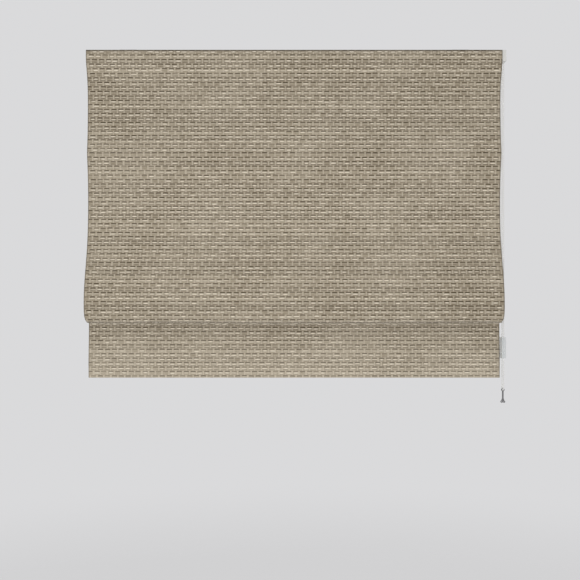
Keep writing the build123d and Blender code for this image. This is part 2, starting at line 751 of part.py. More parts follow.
# Rods across the back, each in a pocket tape that is sewn along its seam
tube_radius = rod_radius + rod_clearance + pocket_ply
rod_y = cord_y - ring_outer_radius - ring_gap - tube_radius
rod_half = half_width - rod_end_margin
pocket_half = half_width - pocket_end_margin
seam_frames = [cloth_point(travel) for travel in seam_travels]
tape_offset = lining_back + tape_gap + pocket_ply
tape_roots = [(y - tape_offset * out_y, z - tape_offset * out_z) for y, z, out_y, out_z in seam_frames]
tape_drops = [sqrt(pocket_depth**2 - (y - root_y) ** 2) for (root_y, _), y in zip(tape_roots, (rod_y, rod_y, cord_y))]
rod_centres = [
    (rod_y, tape_roots[0][1] - tape_drops[0]),
    (rod_y, tape_roots[1][1] + tape_drops[1]),
    (cord_y, tape_roots[2][1] + tape_drops[2]),
]
for level, (y, z), (root_y, root_z), (_, _, out_y, out_z) in zip(
    ("upper", "middle", "lower"), rod_centres, tape_roots, seam_frames
):
    with BuildPart() as rod:
        with BuildSketch(Plane.YZ) as rod_section:
            with Locations((y, z)):
                Circle(rod_radius)
        extrude(amount=rod_half, both=True)
    rod.part.label = f"rod_{level}"
    export_step(rod.part, f"parts/rod_{level}.step")

    with BuildPart() as rod_pocket:
        with BuildSketch(Plane.YZ) as pocket_section:
            with BuildLine():
                Line((root_y, root_z), (y, z))
            trace(line_width=2 * pocket_ply)
            with BuildLine():
                Line((root_y, root_z), (root_y + tape_flange * out_z, root_z - tape_flange * out_y))
            trace(line_width=2 * pocket_ply)
            with Locations((y, z)):
                Circle(tube_radius)
                Circle(tube_radius - pocket_ply, mode=Mode.SUBTRACT)
        extrude(amount=pocket_half, both=True)
    rod_pocket.part.label = f"rod_pocket_{level}"
    export_step(rod_pocket.part, f"parts/rod_pocket_{level}.step")

# Cord rings: one for each lift cord on the upper and the middle tape
for level, (y, z) in zip(("upper", "middle"), rod_centres):
    with BuildPart() as cord_rings:
        with BuildSketch(Plane.XY.offset(z - ring_thickness / 2)) as ring_outline:
            with Locations(*[(x, cord_y) for x in ends(3, spool_spacing)]):
                Circle(ring_outer_radius)
                Circle(ring_outer_radius - ring_thickness, mode=Mode.SUBTRACT)
        extrude(amount=ring_thickness)
        chamfer(cord_rings.edges(), ring_thickness / 4)
    cord_rings.part.label = f"cord_rings_{level}"
    export_step(cord_rings.part, f"parts/cord_rings_{level}.step")

# Cord anchors: breakaway saddles on the lowest tape, right under the middle rings
anchor_top = rod_centres[1][1] - ring_thickness / 2 - cord_gap
lowest_y, lowest_z = rod_centres[2]
with BuildPart() as cord_anchors:
    with BuildSketch(Plane.XY.offset(lowest_z)) as anchor_outline:
        with Locations(*[(x, cord_y) for x in ends(3, spool_spacing)]):
            Circle(anchor_radius)
    extrude(amount=anchor_top - lowest_z)
    with BuildSketch(Plane.YZ) as anchor_saddle:
        with Locations((lowest_y, lowest_z)):
            Circle(tube_radius + fit_clearance)
    extrude(amount=half_width, both=True, mode=Mode.SUBTRACT)
cord_anchors.part.label = "cord_anchors"
export_step(cord_anchors.part, "parts/cord_anchors.step")

# Lift cords: taut, from the back of each spool straight down through the rings to its anchor
cord_length = shaft_z - anchor_top - cord_gap
for place, cord_x in zip(places, ends(3, spool_spacing)):
    with BuildPart() as lift_cord:
        with BuildSketch(Plane.XY.offset(anchor_top + cord_gap)) as cord_section:
            with Locations((cord_x, cord_y)):
                Circle(cord_radius)
        extrude(amount=cord_length)
    lift_cord.part.label = f"lift_cord_{place}"
    export_step(lift_cord.part, f"parts/lift_cord_{place}.step")

# Bottom bar and its end caps, loose in the hem
bar_half = half_width - bar_end_margin - bar_cap_length
with BuildPart() as bottom_bar:
    with BuildSketch(Plane.YZ) as bar_section:
        with Locations((slot_y, slot_z)):
            RectangleRounded(bar_thickness, bar_height, bar_corner)
    extrude(amount=bar_half, both=True)
bottom_bar.part.label = "bottom_bar"
export_step(bottom_bar.part, "parts/bottom_bar.step")

for side, cap_name in ((-1, "bottom_bar_cap_left"), (1, "bottom_bar_cap_right")):
    with BuildPart() as bar_cap:
        with BuildSketch(Plane.YZ.offset(side * (bar_half + bar_cap_length))) as cap_section:
            with Locations((slot_y, slot_z)):
                RectangleRounded(
                    bar_thickness + 2 * bar_cap_wall, bar_height + 2 * bar_cap_wall, bar_corner + bar_cap_wall
                )
        extrude(amount=-side * 2 * bar_cap_length)
        with BuildSketch(Plane.YZ.offset(side * (bar_half + fit_clearance))) as bar_mouth:
            with Locations((slot_y, slot_z)):
                RectangleRounded(bar_thickness + 2 * fit_clearance, bar_height + 2 * fit_clearance, bar_corner)
        extrude(amount=-side * 2 * bar_cap_length, mode=Mode.SUBTRACT)
    bar_cap.part.label = cap_name
    export_step(bar_cap.part, f"parts/{cap_name}.step")

print(f"cloth: {drop_length:.0f} mm from heading to hem, bottom at z {hem_bottom_z:.0f}")
print(f"knee bottom at z {knee_z - knee_radius:.0f}, lowest seam at z {seam_lower_z:.0f}")
print(f"lift cords: {cord_length:.1f} mm each, straight, section x length {pi * cord_radius**2 * cord_length:.0f} mm3")
print(f"chain: {chain_length:.1f} mm round, radius {chain_radius:.2f}, volume {operating_chain.part.volume:.0f}"
      f" mm3 against section x length {pi * chain_cord_radius**2 * chain_length:.0f} mm3")
print("rod centres (Y, Z):", [(round(y, 1), round(z, 1)) for y, z in rod_centres])
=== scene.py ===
import bpy
import bmesh
import numpy as np
from math import cos, pi, radians, sin
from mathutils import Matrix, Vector


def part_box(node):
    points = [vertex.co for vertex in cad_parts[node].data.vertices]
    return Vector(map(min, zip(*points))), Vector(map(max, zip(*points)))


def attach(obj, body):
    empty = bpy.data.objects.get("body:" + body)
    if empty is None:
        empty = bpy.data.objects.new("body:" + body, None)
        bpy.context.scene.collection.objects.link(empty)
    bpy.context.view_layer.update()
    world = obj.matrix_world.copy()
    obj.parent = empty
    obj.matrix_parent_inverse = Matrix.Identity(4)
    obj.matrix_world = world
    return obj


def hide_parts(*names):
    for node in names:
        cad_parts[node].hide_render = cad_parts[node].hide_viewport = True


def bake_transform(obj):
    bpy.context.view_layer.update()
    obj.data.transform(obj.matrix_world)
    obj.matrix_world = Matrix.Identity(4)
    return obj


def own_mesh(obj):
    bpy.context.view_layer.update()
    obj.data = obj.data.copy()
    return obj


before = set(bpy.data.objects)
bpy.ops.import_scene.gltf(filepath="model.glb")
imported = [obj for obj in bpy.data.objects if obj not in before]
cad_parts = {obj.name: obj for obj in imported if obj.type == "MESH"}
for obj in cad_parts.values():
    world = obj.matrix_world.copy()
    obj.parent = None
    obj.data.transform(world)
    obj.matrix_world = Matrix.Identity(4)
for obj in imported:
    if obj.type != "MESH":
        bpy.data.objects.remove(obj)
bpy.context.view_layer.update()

bl_info = {
    "name": "Roman Blind",
    "version": (1, 0, 0),
    "blender": (4, 5, 0),
    "location": "3D View > Sidebar > Blind",
    "description": "Dresses a roman blind: woven cloth, lining, cords, bead chain and finishes",
    "category": "Object",
}

MM = 0.001

# The cloth's hang seen from the side, as in the part: Y is depth, Z is height, in millimetres
CLOTH_Y = -23.6
HEADING_Z = -3.0
HEADING_STRAIGHT = 26.0
FIRST_SEAM_DROP = 295.0
ROD_SPACING = 327.0
UPPER_BELLY = 24.0
UPPER_SEAM_SET = 12.0
MIDDLE_BELLY = 27.0
MIDDLE_SEAM_SET = -4.0
FOLD_SWING = 27.0
FOLD_DROP = 143.0
FOLD_EASE = 3.0
KNEE_RADIUS = 22.0
TURN_RADIUS = 4.0
TURN_SET = 25.0
LOWER_BELLY = 38.0
LOWER_PANEL_DROP = 291.0
HEM_SET = 32.0
HEM_DEPTH = 33.0
POCKET_DEPTH = 6.8
POCKET_HEIGHT = 27.4
POCKET_FOLD = 2.4
POCKET_FLOOR = 0.8
SEAM_UPPER_Z = HEADING_Z - FIRST_SEAM_DROP
SEAM_MIDDLE_Z = SEAM_UPPER_Z - ROD_SPACING

# The bar pocket's back leans in to its stitches: distance behind the hem, height over the pocket's top
POCKET_LEAN = ((POCKET_DEPTH, -4.5), (4.6, -1.2), (2.0, 1.5))
POCKET_SEWN = (1.6, 1.0)

# Places in the rail and along the cords and the chain, in millimetres
RAIL_FOOT_Z = -36.0
SHAFT_Z = -19.1
SPOOL_X = (-440.0, 0.0, 440.0)
CORD_Y = 9.0
RING_UPPER_Z = -322.8
RING_MIDDLE_Z = -615.9
ROD_Y = -0.4
ROD_LOWER_Z = -629.8
ANCHOR_TOP_Z = -617.3
ANCHOR_SINK = 1.0
CHAIN_X = 607.0
CHAIN_RADIUS = 9.708
CHAIN_EXIT_Z = -33.9
CHAIN_LOW_Z = -985.0

# Cloth sheets, in metres: margins at the sides leave room for the rounded rim and the hem's step
RIM_MARGIN = 0.0005
HEM_STEP = 0.0005
SIDE_COLUMNS = (0.0, 0.006, 0.018)
INNER_MARGIN = 0.02
LINING_MARGIN = 0.0003
BAR_TURN_START = 0.006
BAR_TURN_STEP = 0.0009
SEWN_GAP = 0.0003
SEAM_PINCH = 0.0005
LINING_TOP = 0.036
LINING_STOP = 0.0065

# How many columns lie across the sheets, and how many close rows go round the bar
FACE_COLUMNS = 55
LINING_COLUMNS = 41
TAPE_COLUMNS = 13
BAR_TURN_ROWS = 44

# How far a sheet's rim stands out, as a share of its thickness
RIM_BULGE = 0.3

# Rod pocket tapes, in metres: root behind the cloth's line, flange, loop round the rod and its mouth
TAPE_PLY = 0.0006
TAPE_INSET = 0.0205
TAPE_ROOT = 0.0047
TAPE_FLANGE = 0.004
TAPE_LOOP = 0.00245
TAPE_MOUTH = 0.001
TAPE_HALF = 0.42 * TAPE_PLY

# The loop strip: its inset on each face in metres, its waver in radians per metre and its grid
STRIP_INSET = 0.0002
STRIP_WAVER = 37
STRIP_ROWS = 9
STRIP_COLUMNS = 31

# Sewing, in metres; the taper and the spread of the stitches' lengths are shares
STITCH = {"Length": 0.0032, "Height": 0.0007, "Rise": 0.00045, "Taper": 0.5}
STITCH_PITCH = 0.0045
STITCH_MARGINS = (0.004, 0.003)
STITCH_SPREAD = 0.06
SEAM_STITCH_DROP = 0.002
SEAM_STITCH_SINK = 0.0002
HEM_STITCH_DROP = 0.0035
HEM_STITCH_RISE = 0.0004
LINING_STITCH_PITCH = 0.0058
LINING_STITCH_INSET = 0.004
LINING_STITCH_STOP = 0.008
LINING_STITCH_MARGINS = (0.003, 0.002)

# Lift cords and their windings on the spools, in metres; steps are for each turn
CORD_RADIUS = 0.0007
WINDING_RADIUS = 0.00895
WINDING_PITCH = 0.0016
WINDING_TURNS = 6
WINDING_STEPS = 24

# Weft floats: sizes and strays in place in metres, and the rest as shares
FLOAT_YARN = {"Length": 0.0140, "Height": 0.0040, "Rise": 0.0011, "Taper": 0.35}
FLOAT_MARGIN = 0.006
FLOAT_SIDEWAYS = 0.0009
FLOAT_UPWARDS = 0.0006
FLOAT_SPAN = (0.96, 0.14)
FLOAT_SPAN_LIMITS = (0.6, 1.2)
FLOAT_TONE = 0.52
FLOAT_TONE_SPREAD = 0.28
ROW_TONE_SPREAD = 0.22
MISSING_FLOATS = 0.035
SEAM_CLEAR_ROWS = 0.45

# Within one woven row, as shares of its height
GAP_HIGH = (0.06, 0.3)
GAP_LOW = (0.0, 0.24)
SHADE_BAND = (0.7, 0.82)
POST_BAND = (0.02, 0.98)
ROW_SOFTNESS = 0.03
BOW = 0.09

# Within one float's place, as shares of its width
FLOAT_REACH = (0.13, 0.87)
POST_EDGES = (0.09, 0.91)
LOOSE_SHIFT = 0.09
FIRST_BRICK = 30.25

# Painted shade along the cloth's sides and its top: where it starts and ends, in metres
SIDE_SHADE = (0.001, 0.004)
TOP_SHADE = (0.002, 0.0075)

# The camera, the lamps and the floor, in metres; a lamp's power is a share of the key power
CAMERA_PLACE = (-0.0121, -2.5244, -0.695)
LAMP_AIM = (0, 0, -0.5)
LAMPS = (
    ("Key", (-0.35, -2.6, -0.85), 1.3, 0.85),
    ("Fill", (0.5, -2.9, -1.0), 1.8, 0.3),
    ("Back", (-0.5, 2.2, 0.1), 1.6, 0.7),
)
FLOOR_RADIUS = 5.4
FLOOR_STEPS = 64
FLOOR_Z = -2.35
FLOOR_FADE = (1.6, 5.0)

# Sockets of node groups
FLOAT = "NodeSocketFloat"
VECTOR = "NodeSocketVector"
GEOMETRY = "NodeSocketGeometry"
MATERIAL = "NodeSocketMaterial"


# Settings that a user would change


class BLIND_ClothSettings(bpy.types.PropertyGroup):
    width: bpy.props.FloatProperty(
        name="Width", description="Finished width of the blind", default=1.2, unit="LENGTH"
    )
    thickness: bpy.props.FloatProperty(
        name="Thickness", description="Thickness of the face cloth", default=0.0016, unit="LENGTH",
        precision=4,
    )
    lining_thickness: bpy.props.FloatProperty(
        name="Lining Thickness", description="Thickness of the lining", default=0.0008, unit="LENGTH",
        precision=4,
    )
    lining_inset: bpy.props.FloatProperty(
        name="Lining Inset", description="Distance of the lining from each side", default=0.02,
        unit="LENGTH",
    )
    side_hem: bpy.props.FloatProperty(
        name="Side Hem", description="Width of the cloth turned back at each side", default=0.035,
        unit="LENGTH",
    )
    row_pitch: bpy.props.FloatProperty(
        name="Row Pitch", description="Height of one woven row", default=0.0129, unit="LENGTH", precision=4
    )
    brick_pitch: bpy.props.FloatProperty(
        name="Float Pitch", description="Distance between floats in a row", default=0.02, unit="LENGTH"
    )
    rib_height: bpy.props.FloatProperty(
        name="Rib Height", description="Rise of each woven row", default=0.0006, unit="LENGTH", precision=4
    )
    billow: bpy.props.FloatProperty(
        name="Billow", description="How far the hanging cloth wavers", default=0.0011, unit="LENGTH",
        precision=4,
    )
    # The palest yarn's colour, also painted as light towards the hem
    pale_yarn_and_light: bpy.props.FloatVectorProperty(
        name="Pale Yarn and Light", description="Colour of the palest yarn", subtype="COLOR",
        default=(0.85, 0.77, 0.635),
    )
    ground_thread: bpy.props.FloatVectorProperty(
        name="Ground Thread", description="Colour of the ground weave", subtype="COLOR",
        default=(0.296, 0.242, 0.165),
    )
    # The darkest yarn's colour, also painted as shade in the weave's gaps, along the side and top edges and
    # into the fold
    dark_yarn_and_shade: bpy.props.FloatVectorProperty(
        name="Dark Yarn and Shade", description="Colour of the darkest yarn", subtype="COLOR",
        default=(0.05, 0.031, 0.009),
    )
    lining_colour: bpy.props.FloatVectorProperty(
        name="Lining Colour", description="Colour of the lining", subtype="COLOR",
        default=(0.74, 0.71, 0.64),
    )


class BLIND_ChainSettings(bpy.types.PropertyGroup):
    bead_diameter: bpy.props.FloatProperty(
        name="Bead Diameter", description="Diameter of each bead", default=0.0045, unit="LENGTH",
        precision=4,
    )
    bead_pitch: bpy.props.FloatProperty(
        name="Bead Pitch", description="Distance between beads", default=0.006, unit="LENGTH", precision=4
    )
    cord_diameter: bpy.props.FloatProperty(
        name="Cord Diameter", description="Diameter of the cord through the beads", default=0.0014,
        unit="LENGTH", precision=4,
    )
    colour: bpy.props.FloatVectorProperty(
        name="Bead Colour", description="Colour of the beads", subtype="COLOR", default=(0.88, 0.88, 0.87)
    )


class BLIND_StageSettings(bpy.types.PropertyGroup):
    lens: bpy.props.FloatProperty(
        name="Lens", description="Focal length", default=0.05385, unit="LENGTH", subtype="DISTANCE"
    )
    background: bpy.props.FloatVectorProperty(
        name="Background", description="Colour behind the blind", subtype="COLOR",
        default=(0.70, 0.70, 0.71),
    )
    world_light: bpy.props.FloatProperty(
        name="World Light", description="Strength of the world's light", default=0.5
    )
    key_power: bpy.props.FloatProperty(
        name="Key Power", description="Power of the large soft lamp", default=30.0, unit="POWER"
    )


# Node helpers


def give(tree, socket, value):
    """Links an output to this socket, or sets the socket to a number, a colour, a name or a switch."""
    if isinstance(value, bpy.types.NodeSocket):
        tree.links.new(value, socket)
    else:
        socket.default_value = value


def node(tree, kind, inputs=None, **settings):
    """Adds a node with these settings and inputs."""
    made = tree.nodes.new(kind)
    for key, value in settings.items():
        setattr(made, key, value)
    for key, value in (inputs or {}).items():
        give(tree, made.inputs[key], value)
    return made


def calc(tree, operation, a, b=0.0, c=0.0):
    """One Math node's result."""
    return node(tree, "ShaderNodeMath", {0: a, 1: b, 2: c}, operation=operation).outputs[0]


def times(tree, a, b):
    return calc(tree, "MULTIPLY", a, b)


def plus(tree, a, b):
    return calc(tree, "ADD", a, b)


def scaled(tree, value, factor, offset):
    return calc(tree, "MULTIPLY_ADD", value, factor, offset)


def split(tree, vector):
    """A vector's three parts."""
    made = node(tree, "ShaderNodeSeparateXYZ", {0: vector})
    return made.outputs[0], made.outputs[1], made.outputs[2]


def join(tree, x, y, z=0.0):
    """The vector with these three parts."""
    return node(tree, "ShaderNodeCombineXYZ", {0: x, 1: y, 2: z}).outputs[0]


def noise(tree, place, scale, detail=2.0, roughness=0.5):
    """One noise texture's value."""
    keys = {"Vector": place, "Scale": scale, "Detail": detail, "Roughness": roughness}
    return node(tree, "ShaderNodeTexNoise", keys).outputs[0]


def blend_colour(tree, factor, a, b):
    """One colour Mix node's result."""
    return node(tree, "ShaderNodeMix", {0: factor, 6: a, 7: b}, data_type="RGBA").outputs[2]


def ease(tree, value, low, high, start=0.0, end=1.0):
    """A value eased from start to end as the input goes from low to high."""
    keys = {"Value": value, "From Min": low, "From Max": high, "To Min": start, "To Max": end}
    return node(tree, "ShaderNodeMapRange", keys, interpolation_type="SMOOTHSTEP").outputs[0]


def window(tree, value, low, high, soft):
    """1 between low and high, 0 outside, with soft borders."""
    rise = ease(tree, value, low - soft, low + soft)
    fall = ease(tree, value, high - soft, high + soft, 1.0, 0.0)
    return times(tree, rise, fall)


def bump(tree, height, distance):
    keys = {"Height": height, "Distance": distance, "Strength": 1.0}
    return node(tree, "ShaderNodeBump", keys).outputs["Normal"]


def object_place(tree):
    return node(tree, "ShaderNodeTexCoord").outputs["Object"]


def rgba(colour, shade=1.0):
    """A colour with its alpha, darkened to this share."""
    return (*(shade * value for value in colour), 1.0)


def group(name, inputs, outputs, kind="ShaderNodeTree"):
    """An empty node group with these sockets, and its input and output nodes."""
    tree = bpy.data.node_groups.new(name, kind)
    for label, socket, default in inputs:
        made = tree.interface.new_socket(label, in_out="INPUT", socket_type=socket)
        if default is not None:
            made.default_value = default
    for label, socket in outputs:
        tree.interface.new_socket(label, in_out="OUTPUT", socket_type=socket)
    return tree, tree.nodes.new("NodeGroupInput"), tree.nodes.new("NodeGroupOutput")


def place_group(tree, name, inputs):
    """The outputs of a shared shader group placed in a material with its own values."""
    return node(tree, "ShaderNodeGroup", inputs, node_tree=bpy.data.node_groups[name]).outputs


def new_material(name):
    """A material with one Principled shader on its output; returns it with its tree and shader."""
    material = bpy.data.materials.new(name)
    material.use_nodes = True
    return material, material.node_tree, material.node_tree.nodes["Principled BSDF"]


def feed(tree, shader, **sockets):
    """Links or sets the shader's sockets, with underscores for spaces."""
    for key, value in sockets.items():
        give(tree, shader.inputs[key.replace("_", " ")], value)


# Shared shader groups


def build_fibre_group():
    """Streaky yarn: long fibres along the first axis, with slubs."""
    tree, given, result = group(
        "Fibre Streaks",
        [("Vector", VECTOR, None), ("Along", FLOAT, 60.0), ("Across", FLOAT, 700.0)],
        [("Streak", FLOAT), ("Slub", FLOAT)],
    )
    x, y, z = split(tree, given.outputs["Vector"])
    along = times(tree, x, given.outputs["Along"])
    across = times(tree, y, given.outputs["Across"])
    depth = times(tree, z, given.outputs["Across"])
    stretched = join(tree, along, across, depth)
    streak = noise(tree, stretched, 1.0, 3.0, 0.6)
    slub = noise(tree, stretched, 0.23, 1.0)
    tree.links.new(ease(tree, streak, 0.25, 0.75), result.inputs["Streak"])
    tree.links.new(ease(tree, slub, 0.3, 0.7), result.inputs["Slub"])


def build_rows_group():
    """The cloth's rows: painted shade in the gap above each float, a thin painted shade below it, pale warp
    posts between.
    """
    tree, given, result = group(
        "Woven Rows",
        [("Vector", VECTOR, None), ("Row Pitch", FLOAT, 0.0129), ("Float Pitch", FLOAT, 0.02)],
        [(label, FLOAT) for label in ("Gap", "Shade", "Post", "Row Tone", "Height")],
    )
    place = given.outputs["Vector"]
    x, travel, _ = split(tree, place)
    travel = plus(tree, travel, scaled(tree, noise(tree, place, 22.0, 1.0), 0.0022, -0.0011))
    row_place = calc(tree, "DIVIDE", travel, given.outputs["Row Pitch"])
    row = calc(tree, "FLOOR", row_place)
    in_row = calc(tree, "FRACT", row_place)
    half_step = times(tree, calc(tree, "PINGPONG", row, 1.0), 0.5)
    across = calc(tree, "DIVIDE", x, given.outputs["Float Pitch"])
    brick_place = plus(tree, plus(tree, across, half_step), FIRST_BRICK)
    seed = join(tree, row, calc(tree, "FLOOR", brick_place))
    lots = node(tree, "ShaderNodeTexWhiteNoise", {"Vector": seed}, noise_dimensions="3D")
    loose = node(tree, "ShaderNodeSeparateColor", {0: lots.outputs["Color"]})
    in_brick = scaled(tree, loose.outputs["Green"], LOOSE_SHIFT, calc(tree, "FRACT", brick_place))
    in_brick = calc(tree, "SUBTRACT", in_brick, LOOSE_SHIFT / 2)
    from_middle = scaled(tree, in_brick, 2.0, -1.0)
    in_row = plus(tree, in_row, scaled(tree, times(tree, from_middle, from_middle), -BOW, BOW / 3))
    under_float = window(tree, in_brick, *FLOAT_REACH, 0.05)
    high_gap = window(tree, in_row, *GAP_HIGH, ROW_SOFTNESS)
    low_gap = window(tree, in_row, *GAP_LOW, ROW_SOFTNESS)
    # The gap's darkness is painted shade in the crevice above the float; the same mask also sinks the bump
    gap = scaled(tree, loose.outputs["Blue"], calc(tree, "SUBTRACT", low_gap, high_gap), high_gap)
    gap_depth = ease(tree, lots.outputs["Value"], -0.2, 0.7, 0.5, 1.0)
    gap = times(tree, times(tree, gap, under_float), gap_depth)
    row_tone = node(tree, "ShaderNodeTexWhiteNoise", {"W": row}, noise_dimensions="1D").outputs["Value"]
    shade = window(tree, in_row, *SHADE_BAND, ROW_SOFTNESS)
    shade = times(tree, times(tree, shade, ease(tree, row_tone, 0.0, 1.0, 0.3, 1.0)), under_float)
    post = calc(tree, "SUBTRACT", 1.0, window(tree, in_brick, *POST_EDGES, 0.035))
    post = times(tree, post, window(tree, in_row, *POST_BAND, 0.05))
    height = calc(tree, "SUBTRACT", times(tree, post, 0.5), plus(tree, gap, shade))
    for value, socket in zip((gap, shade, post, row_tone, height), result.inputs):
        tree.links.new(value, socket)


def build_plain_weave_group():
    """Fine over-and-under threads, for lining and tapes."""
    tree, given, result = group(
        "Plain Weave", [("Vector", VECTOR, None), ("Pitch", FLOAT, 0.0006)], [("Thread", FLOAT)]
    )
    waves = []
    for part in split(tree, given.outputs["Vector"])[:2]:
        turn = calc(tree, "DIVIDE", times(tree, part, pi), given.outputs["Pitch"])
        waves.append(calc(tree, "ABSOLUTE", calc(tree, "SINE", turn)))
    tree.links.new(calc(tree, "MAXIMUM", *waves), result.inputs["Thread"])


def build_grain_group():
    """Fine surface grain with broad marks, for moulded plastic, paint and metal."""
    tree, given, result = group(
        "Surface Grain",
        [("Vector", VECTOR, None), ("Scale", FLOAT, 900.0), ("Stretch", FLOAT, 1.0)],
        [("Grain", FLOAT), ("Marks", FLOAT)],
    )
    x, y, z = split(tree, given.outputs["Vector"])
    place = join(tree, calc(tree, "DIVIDE", x, given.outputs["Stretch"]), y, z)
    marks = noise(tree, place, 24.0, 3.0, 0.65)
    tree.links.new(noise(tree, place, given.outputs["Scale"], 4.0), result.inputs["Grain"])
    tree.links.new(ease(tree, marks, 0.35, 0.7), result.inputs["Marks"])


# Materials


def woven_cloth_material(settings):
    """Ground weave of the face cloth: rows of gaps in painted shade and pale posts over streaky yarn, with
    painted shade at its side and top edges and into the fold, and painted light towards the hem.
    """
    _, tree, shader = new_material("Woven Cloth")
    light = rgba(settings.pale_yarn_and_light)
    dark = rgba(settings.dark_yarn_and_shade)
    place = node(tree, "ShaderNodeUVMap", uv_map="Cloth").outputs[0]
    pitches = {"Row Pitch": settings.row_pitch, "Float Pitch": settings.brick_pitch}
    rows = place_group(tree, "Woven Rows", {"Vector": place, **pitches})
    fibre = place_group(tree, "Fibre Streaks", {"Vector": place, "Along": 45.0, "Across": 620.0})
    x, travel, _ = split(tree, place)
    colour = blend_colour(tree, times(tree, fibre["Streak"], 0.45), rgba(settings.ground_thread), light)
    colour = blend_colour(tree, times(tree, rows["Row Tone"], 0.22), colour, dark)
    colour = blend_colour(tree, times(tree, rows["Post"], 0.26), colour, light)
    # Painted shade along the side edges and the top edge
    to_side = calc(tree, "SUBTRACT", settings.width / 2, calc(tree, "ABSOLUTE", x))
    side_shade = ease(tree, to_side, *SIDE_SHADE, 0.3, 0.0)
    top_shade = ease(tree, travel, *TOP_SHADE, 0.75, 0.0)
    shadow = plus(tree, rows["Gap"], times(tree, rows["Shade"], 0.7))
    shadow = calc(tree, "MAXIMUM", shadow, calc(tree, "MAXIMUM", side_shade, top_shade))
    colour = blend_colour(tree, shadow, colour, dark)
    broad = ease(tree, noise(tree, place, 5.0), 0.3, 0.7, 0.0, 0.1)
    colour = blend_colour(tree, broad, colour, light)
    # Painted shade into the fold and painted light towards the hem
    fold_shade = ease(tree, travel, *FOLD_SHADE_RUN, 0.0, 0.1)
    hem_light = ease(tree, travel, *HEM_LIGHT_RUN, 0.0, 0.14)
    colour = blend_colour(tree, calc(tree, "SUBTRACT", fold_shade, hem_light), colour, dark)
    colour = blend_colour(tree, hem_light, colour, light)
    height = scaled(tree, rows["Height"], 0.7, times(tree, fibre["Streak"], 0.5))
    feed(
        tree, shader, Base_Color=colour, Normal=bump(tree, height, 0.0007), Sheen_Weight=0.25,
        Sheen_Roughness=0.5, Roughness=ease(tree, fibre["Streak"], 0.0, 1.0, 0.82, 0.95),
        Specular_IOR_Level=0.25,
    )


def float_yarn_material(settings):
    """The raised weft floats, each with its own tone, which also carries painted shade into the fold and
    painted light towards the hem.
    """
    _, tree, shader = new_material("Float Yarn")
    tint_and_painted_light = node(tree, "ShaderNodeAttribute", attribute_name="tint_and_painted_light").outputs["Fac"]
    keys = {"Vector": object_place(tree), "Along": 70.0, "Across": 800.0}
    fibre = place_group(tree, "Fibre Streaks", keys)
    tone = scaled(tree, fibre["Streak"], 0.35, plus(tree, tint_and_painted_light, 0.02))
    colour = blend_colour(tree, tone, rgba(settings.ground_thread), rgba(settings.pale_yarn_and_light))
    feed(
        tree, shader, Base_Color=colour, Normal=bump(tree, fibre["Streak"], 0.0004), Sheen_Weight=0.25,
        Roughness=ease(tree, fibre["Slub"], 0.0, 1.0, 0.78, 0.92), Specular_IOR_Level=0.25,
    )


def plain_cloth_material(name, colour, pitch, slub=0.12):
    """Lining or tape: a fine plain weave with slight slubs, read from the cloth's own map."""
    _, tree, shader = new_material(name)
    place = node(tree, "ShaderNodeUVMap", uv_map="Cloth").outputs[0]
    thread = place_group(tree, "Plain Weave", {"Vector": place, "Pitch": pitch})["Thread"]
    fibre = place_group(tree, "Fibre Streaks", {"Vector": place, "Along": 25.0, "Across": 900.0})
    tone = plus(tree, scaled(tree, thread, -0.35, 0.35), times(tree, fibre["Slub"], slub))
    cloth = blend_colour(tree, tone, rgba(colour), rgba(colour, 0.8))
    feed(
        tree, shader, Base_Color=cloth, Normal=bump(tree, thread, 0.00012), Sheen_Weight=0.2,
        Roughness=ease(tree, fibre["Streak"], 0.0, 1.0, 0.8, 0.92), Specular_IOR_Level=0.3,
    )


def cord_material(name, colour, pitch):
    """Braided cord or thread: slanting strands round the piece."""
    _, tree, shader = new_material(name)
    x, y, z = split(tree, object_place(tree))
    slant = plus(tree, z, plus(tree, x, y))
    strand = calc(tree, "ABSOLUTE", calc(tree, "SINE", times(tree, slant, pi / pitch)))
    braid = blend_colour(tree, ease(tree, strand, 0.0, 0.6), rgba(colour, 0.62), rgba(colour))
    feed(
        tree, shader, Base_Color=braid, Normal=bump(tree, strand, 0.0002), Sheen_Weight=0.15,
        Roughness=ease(tree, strand, 0.0, 1.0, 0.9, 0.7),
    )


def solid_material(name, colour, roughness, scale=900.0, stretch=1.0, depth=0.00004, marks=0.1, **fixed):
    """Moulded plastic, paint or metal with grain in its colour, gloss and surface."""
    _, tree, shader = new_material(name)
    keys = {"Vector": object_place(tree), "Scale": scale, "Stretch": stretch}
    grain = place_group(tree, "Surface Grain", keys)
    tone = blend_colour(tree, times(tree, grain["Marks"], marks), rgba(colour), rgba(colour, 0.72))
    gloss = ease(tree, grain["Marks"], 0.0, 1.0, roughness, roughness + 0.14)
    normal = bump(tree, grain["Grain"], depth)
    feed(tree, shader, Base_Color=tone, Normal=normal, Roughness=gloss, **fixed)


# The cloth's line


